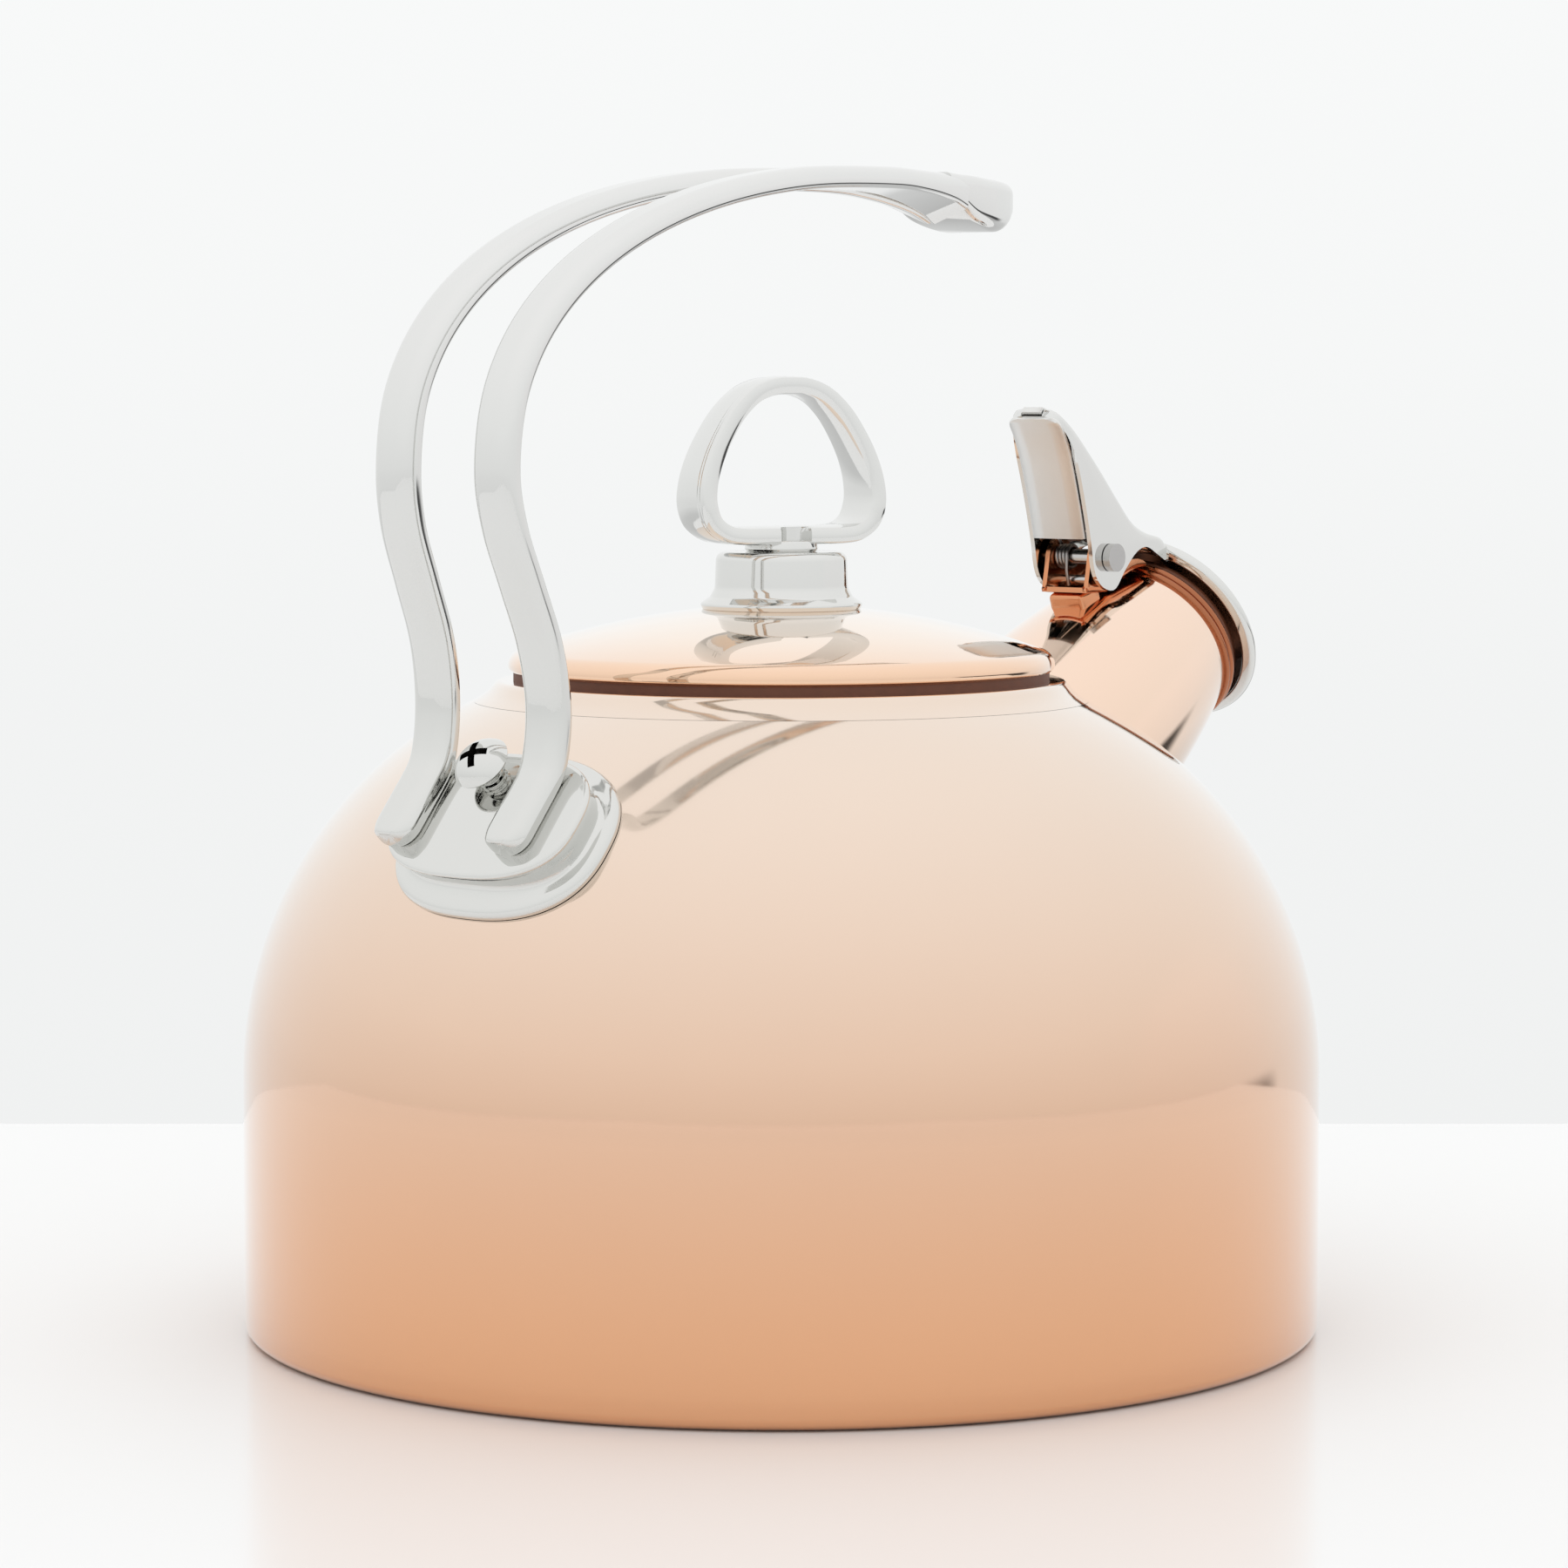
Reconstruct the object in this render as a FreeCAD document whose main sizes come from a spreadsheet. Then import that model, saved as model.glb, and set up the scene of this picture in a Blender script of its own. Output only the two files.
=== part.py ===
import FreeCAD, Part
import math
import os
import re
import Sketcher

# Stovetop whistling kettle.
# Row frame: +Z up, +X from the kettle's axis towards the spout, origin on the base at the kettle's axis.
# Millimetres and degrees throughout.

V = FreeCAD.Vector
doc = FreeCAD.newDocument("whistling_kettle")

# ---------------------------------------------------------------- driving sizes
SIZES = [
    ("body_radius", 95.0, "outer radius of the straight wall"),
    ("straight_height", 45.0, "height where the shoulder begins"),
    ("shoulder_radius", 73.5, "radius of the round shoulder, in section"),
    ("shell_wall", 1.0, "sheet thickness of the body"),
    ("foot_radius", 2.0, "radius of the bottom corner"),
    ("foot_lip", 2.0, "width of the lip turned in under the body"),
    ("lid_opening", 48.0, "radius of the opening in the dome"),
    ("base_sheet", 1.0, "thickness of the base cover and of the inner pan"),
    ("spreader_thick", 4.0, "thickness of the heat spreader"),
    ("pan_flange", 9.0, "height of the inner pan with its flange"),
    ("braze_gap", 0.05, "gap filled with braze between pan and wall"),
    ("seat_radius", 51.0, "outer radius of the lid seat's lip"),
    ("seat_height", 0.9, "thickness of the seat's lip above the edge of the opening"),
    ("seat_bore", 45.5, "inner radius of the lid seat"),
    ("seat_wall", 0.9, "sheet thickness of the lid seat"),
    ("seat_depth", 9.0, "depth of the seat's collar"),
    ("lid_radius", 48.2, "outer radius of the lid"),
    ("lid_gap", 1.9, "dark gap between the seat and the lid's edge"),
    ("lid_edge", 3.6, "height of the lid's rolled edge"),
    ("lid_rise", 7.6, "rise of the lid's dome above its rolled edge"),
    ("lid_sheet", 0.9, "sheet thickness of the lid"),
    ("plug_clearance", 0.6, "gap between the lid's skirt and the seat"),
    ("plug_depth", 10.0, "depth of the lid's skirt below the seat's lip"),
    ("plug_sheet", 0.8, "sheet thickness of the skirt"),
    ("knob_flange", 14.3, "radius of the flange under the knob"),
    ("knob_radius", 11.5, "radius of the knob's collar"),
    ("knob_height", 9.4, "height of the knob's collar"),
    ("knob_wall", 1.2, "wall of the knob's collar"),
    ("ring_width", 36.0, "width of the knob's ring"),
    ("ring_height", 29.2, "height of the knob's ring"),
    ("ring_depth", 11.5, "width of the ring's band"),
    ("ring_band", 3.0, "thickness of the ring's band"),
    ("ring_corner", 7.6, "radius of the ring's lower corners"),
    ("ring_notch_radius", 3.0, "radius of the notch in the ring's base"),
    ("ring_turn", 23.0, "turn of the ring about the kettle's axis"),
    ("ring_stem", 6.5, "radius of the pad under the ring"),
    ("ring_stem_rise", 1.4, "height of the pad under the ring"),
    ("knob_screw_radius", 2.0, "shank radius of the knob's screw"),
    ("screw_slip", 0.15, "radial gap of a screw in a clearance hole"),
    ("spout_rise", 30.0, "tilt of the spout above the horizontal"),
    ("mouth_reach", 112.4, "distance from the axis to the centre of the mouth"),
    ("mouth_height", 115.3, "height of the centre of the mouth"),
    ("mouth_radius", 17.1, "outer radius of the spout at the mouth"),
    ("spout_root", 22.3, "outer radius of the spout where it meets the body"),
    ("spout_length", 48.0, "length of the spout before it is trimmed to the body"),
    ("spout_flare", 185.0, "radius of the flare, in section"),
    ("spout_wall", 1.0, "sheet thickness of the spout"),
    ("bead_radius", 0.85, "section radius of each bead at the mouth"),
    ("bead_pitch", 1.5, "height of each bead at the mouth"),
    ("spout_hole", 17.0, "radius of the hole in the body under the spout"),
    ("pivot_back", 10.4, "cap pivot, distance behind the mouth"),
    ("pivot_rise", 26.85, "cap pivot, distance above the spout's axis"),
    ("pivot_radius", 1.5, "radius of the cap's pin"),
    ("pivot_clearance", 0.06, "radial running gap of the cap on its pin"),
    ("pin_head", 2.65, "radius of the pin's round head"),
    ("pin_head_thick", 1.5, "thickness of the pin's head"),
    ("ear_spacing", 8.5, "gap between the bracket's two ears"),
    ("ear_thick", 1.2, "thickness of the bracket's ears and saddle"),
    ("ear_radius", 3.6, "radius of the ears about the pin"),
    ("ear_drop", 13.0, "distance of the ears' feet below the pin, before they are trimmed to the spout"),
    ("ear_reach", 10.5, "distance of the ears' front corner past the pin"),
    ("saddle_width", 14.5, "width of the bracket's saddle"),
    ("saddle_length", 17.0, "length of the bracket's saddle along the spout"),
    ("saddle_rise", 3.5, "growth of the spout's radius under the saddle"),
    ("cheek_gap", 0.6, "gap between each ear and the cap's cheek"),
    ("lever_round", 5.2, "corner radius at the top of the lever"),
    ("lever_rise", 28.6, "height of the lever's top above the pivot"),
    ("lever_block", 30.0, "length of the block that rounds the lever's top"),
    ("cheek_thick", 1.0, "sheet thickness of the cap"),
    ("stop_drop", 4.3, "height of the cap's pin above the spring's rod"),
    ("stop_radius", 0.9, "radius of the spring's rod"),
    ("spring_wire", 0.4, "wire radius of the return spring"),
    ("spring_coil", 2.3, "mean radius of the spring's coil"),
    ("spring_pitch", 0.95, "distance between the spring's turns"),
    ("spring_turns", 6.0, "turns in the return spring"),
    ("cap_radius", 20.1, "outer radius of the cap"),
    ("cap_lip", 18.0, "radius of the cap's turned-in lip"),
    ("cap_stand", 5.4, "distance from the tube's end to the cap's lip"),
    ("cap_depth", 2.2, "depth of the cap's rolled edge"),
    ("cap_crown", 4.6, "rise of the cap's face above its edge"),
    ("cap_hole", 2.5, "radius of the sound hole"),
    ("seal_thick", 1.1, "thickness of the mouth seal"),
    ("seal_gap", 0.15, "gap between the mouth and its seal at rest"),
    ("whistle_radius", 10.0, "outer radius of the whistle"),
    ("whistle_depth", 5.0, "depth of the whistle below its flange"),
    ("whistle_wall", 0.6, "sheet thickness of the whistle"),
    ("whistle_hole", 1.3, "radius of the holes in the whistle's plates"),
    ("pedestal_rise", 40.8, "elevation of the handle's pedestal on the shoulder"),
    ("pedestal_half_width", 21.4, "half width of the pedestal's flange, across"),
    ("pedestal_half_length", 16.4, "half length of the pedestal's flange, up the slope"),
    ("pedestal_fullness", 0.86, "end radius of the pedestal's oval, as a share of its half length"),
    ("pedestal_flange", 2.0, "thickness of the pedestal's flange"),
    ("pedestal_height", 5.2, "height of the pedestal's flat top above the dome"),
    ("pedestal_shift", -3.4, "sideways place of the pedestal's middle"),
    ("plateau_half_width", 19.7, "half width of the flat top, across"),
    ("plateau_half_length", 12.6, "half length of the flat top, up the slope"),
    ("plateau_thick", 1.9, "thickness of the rim of the flat top"),
    ("waist_inset", 1.4, "depth of the hollow under the rim of the flat top"),
    ("gasket_thick", 0.8, "thickness of the gasket under the pedestal"),
    ("gasket_inset", 0.6, "gasket edge, inside the flange edge"),
    ("screw_offset", 7.7, "handle screw, distance up the slope from the pedestal's centre"),
    ("screw_radius", 2.4, "shank radius of the handle screw"),
    ("screw_head", 5.1, "radius of the handle screw's head"),
    ("screw_head_high", 2.8, "height of the handle screw's head"),
    ("screw_stand", 3.0, "height of the screw's head above the flat top"),
    ("screw_counterbore", 3.1, "radius of the dark hole round the screw"),
    ("slot_length", 5.0, "length of each slot of the screw's cross recess"),
    ("slot_width", 1.3, "width of each slot of the cross recess"),
    ("slot_deep", 1.6, "depth of the cross recess below the top of the head"),
    ("slot_turn", 20.0, "turn of the cross recess about the screw"),
    ("inner_seal", 1.2, "thickness of the seal inside the body"),
    ("inner_plate", 1.2, "thickness of the plate inside the body"),
    ("inner_radius", 8.0, "radius of the seal and plate inside the body"),
    ("nut_across", 8.0, "width of the nut across its flats"),
    ("nut_high", 4.0, "height of the nut"),
    ("leg_width", 8.6, "width of each leg of the handle"),
    ("leg_thick", 4.0, "thickness of each leg of the handle"),
    ("leg_round", 1.9, "corner radius on the outer side of a leg"),
    ("leg_corner", 0.7, "corner radius on the inner side of a leg"),
    ("foot_end", 7.8, "end of each foot, down the slope from the pedestal's centre"),
    ("foot_leave", 4.0, "where each foot leaves the flat top, up the slope"),
    ("foot_spread", 12.3, "half the spacing of the legs at their feet"),
    ("arch_spread", 10.9, "half the spacing of the legs where the arch begins"),
    ("waist_rise", 12.0, "height of the handle's inward bend above the foot"),
    ("waist_inward", 3.3, "inward travel of that bend"),
    ("back_rise", 50.0, "height of the handle's rearmost point above the foot"),
    ("back_overhang", 7.3, "travel of that point behind the foot"),
    ("arch_height", 204.7, "height of the top of the handle"),
    ("arch_reach", 18.0, "distance of the top of the handle past the axis"),
    ("arch_power", 2.27, "fullness of the arch: 2 is an ellipse, more is squarer"),
    ("tip_reach", 61.5, "distance of the handle's tip past the axis"),
    ("tip_drop", 1.7, "drop of the handle from its top to its tip"),
    ("slot_end", 43.5, "end of the slot between the legs"),
    ("beak_depth", 9.4, "depth of the joined tip"),
    ("beak_keel", 3.2, "extra depth of each leg on its slot side where the tip begins"),
    ("beak_half_width", 8.4, "half width of the joined tip where it begins"),
    ("beak_end_half_width", 6.4, "half width of the joined tip at its end"),
]

sheet = doc.addObject("Spreadsheet::Sheet", "sizes")
for row, (name, value, note) in enumerate(SIZES, start=1):
    sheet.set("A%d" % row, name)
    sheet.set("B%d" % row, str(value))
    sheet.setAlias("B%d" % row, name)
    sheet.set("C%d" % row, note)
doc.recompute()

NAMES = [name for name, value, note in SIZES]
WORDS = re.compile(r"\b(" + "|".join(NAMES) + r")\b")


def bound(text):
    """The text of a size with each name pointed at the sheet."""
    return WORDS.sub(r"sizes.\1", text)


def num(text):
    """The number that a size's text stands for."""
    result = sheet.evalExpression(bound(text))
    return float(getattr(result, "Value", result))


# ---------------------------------------------------------------- named places, as text
SHOULDER_X = "(body_radius - shoulder_radius)"
SPREADER_TOP = "(base_sheet + spreader_thick)"
OPENING_Z = "(straight_height + sqrt(shoulder_radius^2 - (lid_opening - %s)^2))" % SHOULDER_X
SEAT_TOP = "(%s + seat_height)" % OPENING_Z
LID_BOTTOM = "(%s + lid_gap)" % SEAT_TOP
LID_SHOULDER = "(%s + lid_edge)" % LID_BOTTOM
LID_TOP = "(%s + lid_rise)" % LID_SHOULDER
KNOB_TOP = "(%s + knob_height)" % LID_TOP
RING_BOTTOM = "(%s + ring_stem_rise)" % KNOB_TOP
MOUTH_END = "(2 * bead_pitch)"
CHEEK_IN = "(ear_spacing / 2 + ear_thick + cheek_gap)"
CHEEK_OUT = "(%s + cheek_thick)" % CHEEK_IN
SPOUT_COS = "cos(spout_rise * 1deg)"
SPOUT_SIN = "sin(spout_rise * 1deg)"
PIVOT_X = "(mouth_reach - pivot_back * %s - pivot_rise * %s)" % (SPOUT_COS, SPOUT_SIN)
PIVOT_Z = "(mouth_height - pivot_back * %s + pivot_rise * %s)" % (SPOUT_SIN, SPOUT_COS)
RISE_COS = "cos(pedestal_rise * 1deg)"
RISE_SIN = "sin(pedestal_rise * 1deg)"
PEDESTAL_X = "(-%s - shoulder_radius * %s)" % (SHOULDER_X, RISE_COS)
PEDESTAL_Z = "(straight_height + shoulder_radius * %s)" % RISE_SIN
SCREW_X = "(%s + screw_offset * %s)" % (PEDESTAL_X, RISE_SIN)
SCREW_Z = "(%s + screw_offset * %s)" % (PEDESTAL_Z, RISE_COS)


# ---------------------------------------------------------------- ways of making a piece
def shoulder_z(radius, offset="0"):
    """Height of the shoulder at a radius, for the surface moved outwards by offset."""
    return "(straight_height + sqrt((shoulder_radius + %s)^2 - (%s - %s)^2))" % (offset, radius, SHOULDER_X)


def arc_between(start, end, radius):
    """The shorter arc from start to end. A positive radius turns anticlockwise."""
    chord = end - start
    half = chord.Length / 2.0
    rise = math.sqrt(max(radius * radius - half * half, 0.0))
    side = 1.0 if radius > 0 else -1.0
    left = V(-chord.y, chord.x, 0).normalize()
    centre = (start + end) * 0.5 + left * (rise * side)
    first, last = (start, end) if radius > 0 else (end, start)
    low = math.atan2(first.y - centre.y, first.x - centre.x)
    high = math.atan2(last.y - centre.y, last.x - centre.x)
    if high < low:
        high += 2 * math.pi
    return Part.ArcOfCircle(Part.Circle(centre, V(0, 0, 1), abs(radius)), low, high)


def draw(sketch, outline):
    """Draws a closed outline. A corner is (across, up), or (across, up, radius) where an arc ends."""
    points = [V(num(corner[0]), num(corner[1]), 0) for corner in outline]
    count = len(points)
    for index, corner in enumerate(outline):
        start = points[index - 1]
        end = points[index]
        curved = len(corner) == 3
        if curved:
            radius = num(corner[2])
            sketch.addGeometry(arc_between(start, end, radius))
        else:
            sketch.addGeometry(Part.LineSegment(start, end))
    for index, corner in enumerate(outline):
        curved = len(corner) == 3
        clockwise = curved and num(corner[2]) < 0
        end_point = 1 if clockwise else 2
        following = outline[(index + 1) % count]
        next_clockwise = len(following) == 3 and num(following[2]) < 0
        start_point = 2 if next_clockwise else 1
        next_index = (index + 1) % count
        sketch.addConstraint(Sketcher.Constraint("Coincident", index, end_point, next_index, start_point))
        across_size = ("DistanceX", corner[0], points[index].x)
        up_size = ("DistanceY", corner[1], points[index].y)
        for kind, text, value in (across_size, up_size):
            place = sketch.addConstraint(Sketcher.Constraint(kind, index, end_point, value))
            sketch.setExpression("Constraints[%d]" % place, bound(text))
        if curved:
            place = sketch.addConstraint(Sketcher.Constraint("Radius", index, abs(num(corner[2]))))
            sketch.setExpression("Constraints[%d]" % place, "abs(%s)" % bound(corner[2]))


def new_sketch(body, plane, name):
    sketch = body.newObject("Sketcher::SketchObject", name)
    origin_plane = [part for part in body.Origin.OriginFeatures if part.Role == plane][0]
    sketch.AttachmentSupport = [(origin_plane, "")]
    sketch.MapMode = "FlatFace"
    return sketch


def bind_place(piece, x="0", y="0", z="0", axis=V(0, 1, 0), angle="0"):
    """Puts a piece at a point, turned about an axis, with both tied to the sheet."""
    turn = FreeCAD.Rotation(axis, num(angle))
    piece.Placement = FreeCAD.Placement(V(num(x), num(y), num(z)), turn)
    for side, text in (("x", x), ("y", y), ("z", z)):
        if text != "0":
            piece.setExpression("Placement.Base." + side, bound(text))
    if angle != "0":
        piece.setExpression("Placement.Rotation.Angle", "(%s) * 1deg" % bound(angle))


def on_spout(piece):
    """Local Z runs out along the spout, from the centre of its mouth."""
    bind_place(piece, "mouth_reach", "0", "mouth_height", V(0, 1, 0), "90 - spout_rise")


def on_pedestal(piece, x=PEDESTAL_X, z=PEDESTAL_Z, y="0"):
    """Local Z leaves the shoulder at the pedestal; local X runs down the slope."""
    bind_place(piece, x, y, z, V(0, -1, 0), "90 - pedestal_rise")


def turned(label, outline, place=None):
    """A solid turned about its own Z. The outline is (radius, height)."""
    body = doc.addObject("PartDesign::Body", label)
    body.Label = label
    sketch = new_sketch(body, "XZ_Plane", label + "_profile")
    draw(sketch, outline)
    feature = body.newObject("PartDesign::Revolution", label + "_turn")
    feature.Profile = sketch
    feature.ReferenceAxis = (sketch, ["V_Axis"])
    feature.Angle = 360
    if place:
        place(body)
    return body


def plate(label, outline, low, high):
    """A plate drawn in the XZ plane and running from y = low to y = high."""
    body = doc.addObject("PartDesign::Body", label)
    body.Label = label
    sketch = new_sketch(body, "XZ_Plane", label + "_outline")
    draw(sketch, outline)
    feature = body.newObject("PartDesign::Pad", label + "_pad")
    feature.Profile = sketch
    feature.setExpression("Length", bound("(%s) - (%s)" % (high, low)))
    bind_place(body, "0", high, "0")
    return body


def cylinder(label, radius, height, x="0", y="0", z="0", axis=V(0, 1, 0), angle="0"):
    piece = doc.addObject("Part::Cylinder", label)
    piece.Label = label
    piece.setExpression("Radius", bound(radius))
    piece.setExpression("Height", bound(height))
    bind_place(piece, x, y, z, axis, angle)
    return piece


def across(label, radius, low, high, x=PIVOT_X, z=PIVOT_Z):
    """A rod or hole along Y, from y = low to y = high."""
    return cylinder(label, radius, "(%s) - (%s)" % (high, low), x, low, z, V(-1, 0, 0), "90")


def box(label, size, corner, place=None):
    piece = doc.addObject("Part::Box", label)
    piece.Label = label
    for name, text in zip(("Length", "Width", "Height"), size):
        piece.setExpression(name, bound(text))
    bind_place(piece, *corner)
    if place:
        holder_place(piece, place, corner)
    return piece


def holder_place(piece, place, corner):
    """Moves a box that is drawn in a tilted frame into the row frame."""
    place(piece)
    frame = piece.Placement
    for side in ("x", "y", "z"):
        piece.setExpression("Placement.Base." + side, None)
    piece.setExpression("Placement.Rotation.Angle", None)
    start = frame.multVec(V(*[num(text) for text in corner]))
    piece.Placement = FreeCAD.Placement(start, frame.Rotation)


def cut(label, base, tool):
    piece = doc.addObject("Part::Cut", label)
    piece.Label = label
    piece.Base = base
    piece.Tool = tool
    return piece


def common(label, base, tool):
    piece = doc.addObject("Part::Common", label)
    piece.Label = label
    piece.Base = base
    piece.Tool = tool
    return piece


def fuse(label, *pieces):
    piece = doc.addObject("Part::MultiFuse", label)
    piece.Label = label
    piece.Shapes = list(pieces)
    piece.Refine = True
    return piece


def dome(label, offset):
    """The whole inside of the body's outer surface, moved outwards by offset."""
    edge = "(lid_opening - 8)"
    rim = shoulder_z(edge, offset)
    return turned(label, [
        ("0", "0"),
        ("body_radius + %s" % offset, "0"),
        ("body_radius + %s" % offset, "straight_height"),
        (edge, rim, "shoulder_radius + %s" % offset),
        ("0", rim),
    ])


nodes = []


def keep(piece):
    nodes.append(piece)
    return piece


# ---------------------------------------------------------------- body and base
def build_body():
    inner = "-shell_wall"
    shell = turned("shell_blank", [
        ("body_radius - foot_radius - foot_lip", "0"),
        ("body_radius - foot_radius", "0"),
        ("body_radius", "foot_radius", "foot_radius"),
        ("body_radius", "straight_height"),
        ("lid_opening", OPENING_Z, "shoulder_radius"),
        ("lid_opening", shoulder_z("lid_opening", inner)),
        ("body_radius - shell_wall", "straight_height", "-(shoulder_radius - shell_wall)"),
        ("body_radius - shell_wall", "foot_radius"),
        ("body_radius - foot_radius", "shell_wall", "-(foot_radius - shell_wall)"),
        ("body_radius - foot_radius - foot_lip", "shell_wall"),
    ])
    spout_hole = cylinder("spout_hole_cutter", "spout_hole", "spout_length + 25")
    bind_place(spout_hole, "mouth_reach - (spout_length + 25) * %s" % SPOUT_COS, "0",
               "mouth_height - (spout_length + 25) * %s" % SPOUT_SIN, V(0, 1, 0), "90 - spout_rise")
    screw_hole = handle_bore("screw_hole_cutter", "screw_radius + screw_slip", "-8", "8")
    keep(cut("body_shell", cut("shell_with_spout_hole", shell, spout_hole), screw_hole))


def build_base():
    top = SPREADER_TOP
    pan = "(body_radius - shell_wall - braze_gap)"
    keep(turned("inner_pan", [
        ("0", top),
        (pan, top),
        (pan, "%s + pan_flange" % top),
        (pan + " - base_sheet", "%s + pan_flange" % top),
        (pan + " - base_sheet", top + " + base_sheet"),
        ("0", top + " + base_sheet"),
    ]))
    edge = "(body_radius - foot_radius - foot_lip - 2 * braze_gap)"
    keep(turned("base_cover", [
        ("0", "0"),
        (edge + " - base_sheet", "0"),
        (edge, "base_sheet", "base_sheet"),
        (edge, top + " - 1"),
        (edge + " - base_sheet", top + " - 1"),
        (edge + " - base_sheet", "base_sheet"),
        ("0", "base_sheet"),
    ]))
    keep(turned("heat_spreader", [
        ("0", "base_sheet"),
        (edge + " - base_sheet - 2 * braze_gap", "base_sheet"),
        (edge + " - base_sheet - 2 * braze_gap", top),
        ("0", top),
    ]))


def build_seat():
    collar = "(seat_bore + seat_wall)"
    keep(turned("lid_seat_ring", [
        ("seat_radius", shoulder_z("seat_radius"), "-shoulder_radius"),
        ("seat_radius", SEAT_TOP + " - 0.5"),
        ("seat_radius - 0.5", SEAT_TOP, "0.5"),
        ("seat_bore + 0.8", SEAT_TOP),
        ("seat_bore", SEAT_TOP + " - 0.8", "0.8"),
        ("seat_bore", SEAT_TOP + " - seat_depth"),
        (collar, SEAT_TOP + " - seat_depth"),
        (collar, OPENING_Z + " - 0.2"),
        ("lid_opening", OPENING_Z),
    ]))


# ---------------------------------------------------------------- lid and knob
def build_lid():
    hole = "(knob_screw_radius + screw_slip)"
    crown = "((lid_radius - 2.6)^2 / (2 * lid_rise) + lid_rise / 2)"
    under = "(%s - lid_sheet)" % LID_TOP
    keep(turned("lid_shell", [
        (hole, LID_TOP + " - 0.01", crown),
        (hole, under),
        ("lid_radius - 2.9", LID_SHOULDER + " - lid_sheet", "-(%s - lid_sheet)" % crown),
        ("lid_radius - lid_sheet", LID_BOTTOM + " + 1.2", "-2.2"),
        ("lid_radius - lid_sheet", LID_BOTTOM),
        ("lid_radius - 0.3", LID_BOTTOM),
        ("lid_radius", LID_BOTTOM + " + 0.3", "0.3"),
        ("lid_radius", LID_BOTTOM + " + 1"),
        ("lid_radius - 2.6", LID_SHOULDER, "2.8"),
    ]))
    skirt = "(seat_bore - plug_clearance)"
    shoulder = "(lid_radius - lid_sheet - 0.1)"
    floor = SEAT_TOP
    keep(turned("lid_skirt", [
        (skirt, SEAT_TOP + " - plug_depth"),
        (skirt, floor),
        (shoulder, floor),
        (shoulder, LID_BOTTOM + " + 1"),
        (shoulder + " - plug_sheet", LID_BOTTOM + " + 1"),
        (shoulder + " - plug_sheet", floor + " + plug_sheet"),
        (skirt + " - plug_sheet", floor + " + plug_sheet"),
        (skirt + " - plug_sheet", SEAT_TOP + " - plug_depth"),
    ]))


def build_knob():
    bore = "(knob_screw_radius + screw_slip)"
    inner = "(knob_radius - knob_wall)"
    keep(turned("knob_collar", [
        (inner, LID_TOP),
        ("knob_flange - 0.4", LID_TOP),
        ("knob_flange - 0.4", LID_TOP + " + 0.8", "0.45"),
        ("knob_radius + 0.4", LID_TOP + " + 2", "-6"),
        ("knob_radius", LID_TOP + " + 3.2", "-6"),
        ("knob_radius", KNOB_TOP + " - 1.4"),
        ("knob_radius - 1.4", KNOB_TOP, "1.4"),
        (bore, KNOB_TOP),
        (bore, KNOB_TOP + " - knob_wall"),
        (inner, KNOB_TOP + " - knob_wall"),
    ]))
    keep(build_ring())
    head = "(knob_screw_radius * 2)"
    washer = "(%s - lid_sheet - 0.8)" % LID_TOP
    keep(turned("knob_washer", [
        (bore, washer),
        ("knob_screw_radius * 2.6", washer),
        ("knob_screw_radius * 2.6", washer + " + 0.7"),
        (bore, washer + " + 0.7"),
    ]))
    keep(turned("knob_screw", [
        ("0", washer + " - 2.4"),
        (head + " - 1.2", washer + " - 2.4"),
        (head, washer + " - 1.2", "1.4"),
        (head, washer),
        ("knob_screw_radius", washer),
        ("knob_screw_radius", RING_BOTTOM + " + 1"),
        ("0", RING_BOTTOM + " + 1"),
    ]))


def ring_outline(inset):
    """A rounded triangle on a flat base: a wide arc up each side and tight lower corners."""
    half = "(ring_width / 2 - %s)" % inset
    low = "(%s + %s)" % (RING_BOTTOM, inset)
    high = "(%s + ring_height - %s)" % (RING_BOTTOM, inset)
    corner = "(ring_corner - %s)" % inset
    shoulder = "(%s + ring_height * 0.86 - %s * 0.7)" % (RING_BOTTOM, inset)
    return [
        ("%s - %s" % (half, corner), low),
        (half, "%s + %s" % (low, corner), corner),
        ("ring_width * 0.25 - %s * 0.7" % inset, shoulder, "ring_width * 0.95 - %s" % inset),
        ("0", high, "ring_width * 0.3 - %s" % inset),
        ("-(ring_width * 0.25 - %s * 0.7)" % inset, shoulder, "ring_width * 0.3 - %s" % inset),
        ("-%s" % half, "%s + %s" % (low, corner), "ring_width * 0.95 - %s" % inset),
        ("-%s + %s" % (half, corner), low, corner),
    ]


def build_ring():
    outer = plate("ring_outer", ring_outline("0"), "-ring_depth / 2", "ring_depth / 2")
    inner = plate("ring_inner", ring_outline("ring_band"), "-ring_depth / 2 - 1", "ring_depth / 2 + 1")
    stem = cylinder("ring_stem_pad", "ring_stem", "ring_stem_rise + ring_band / 2", "0", "0", KNOB_TOP)
    below = RING_BOTTOM + " - 1"
    notch = cylinder("ring_notch", "ring_notch_radius", "ring_band + 2", "0", "-ring_depth / 2", below)
    bore = cylinder("ring_bore", "knob_screw_radius", "ring_stem_rise + 1", "0", "0", KNOB_TOP)
    blank = fuse("ring_with_stem", cut("ring_band_blank", outer, inner), stem)
    ring = cut("knob_ring", cut("ring_notched", blank, notch), bore)
    bind_place(ring, "0", "0", "0", V(0, 0, -1), "ring_turn")
    return ring


# ---------------------------------------------------------------- spout
def spout_outline(offset):
    return [
        ("0", "-spout_length"),
        ("spout_root + %s" % offset, "-spout_length"),
        ("mouth_radius + %s" % offset, "0", "spout_flare + %s" % offset),
        ("0", "0"),
    ]


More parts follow.
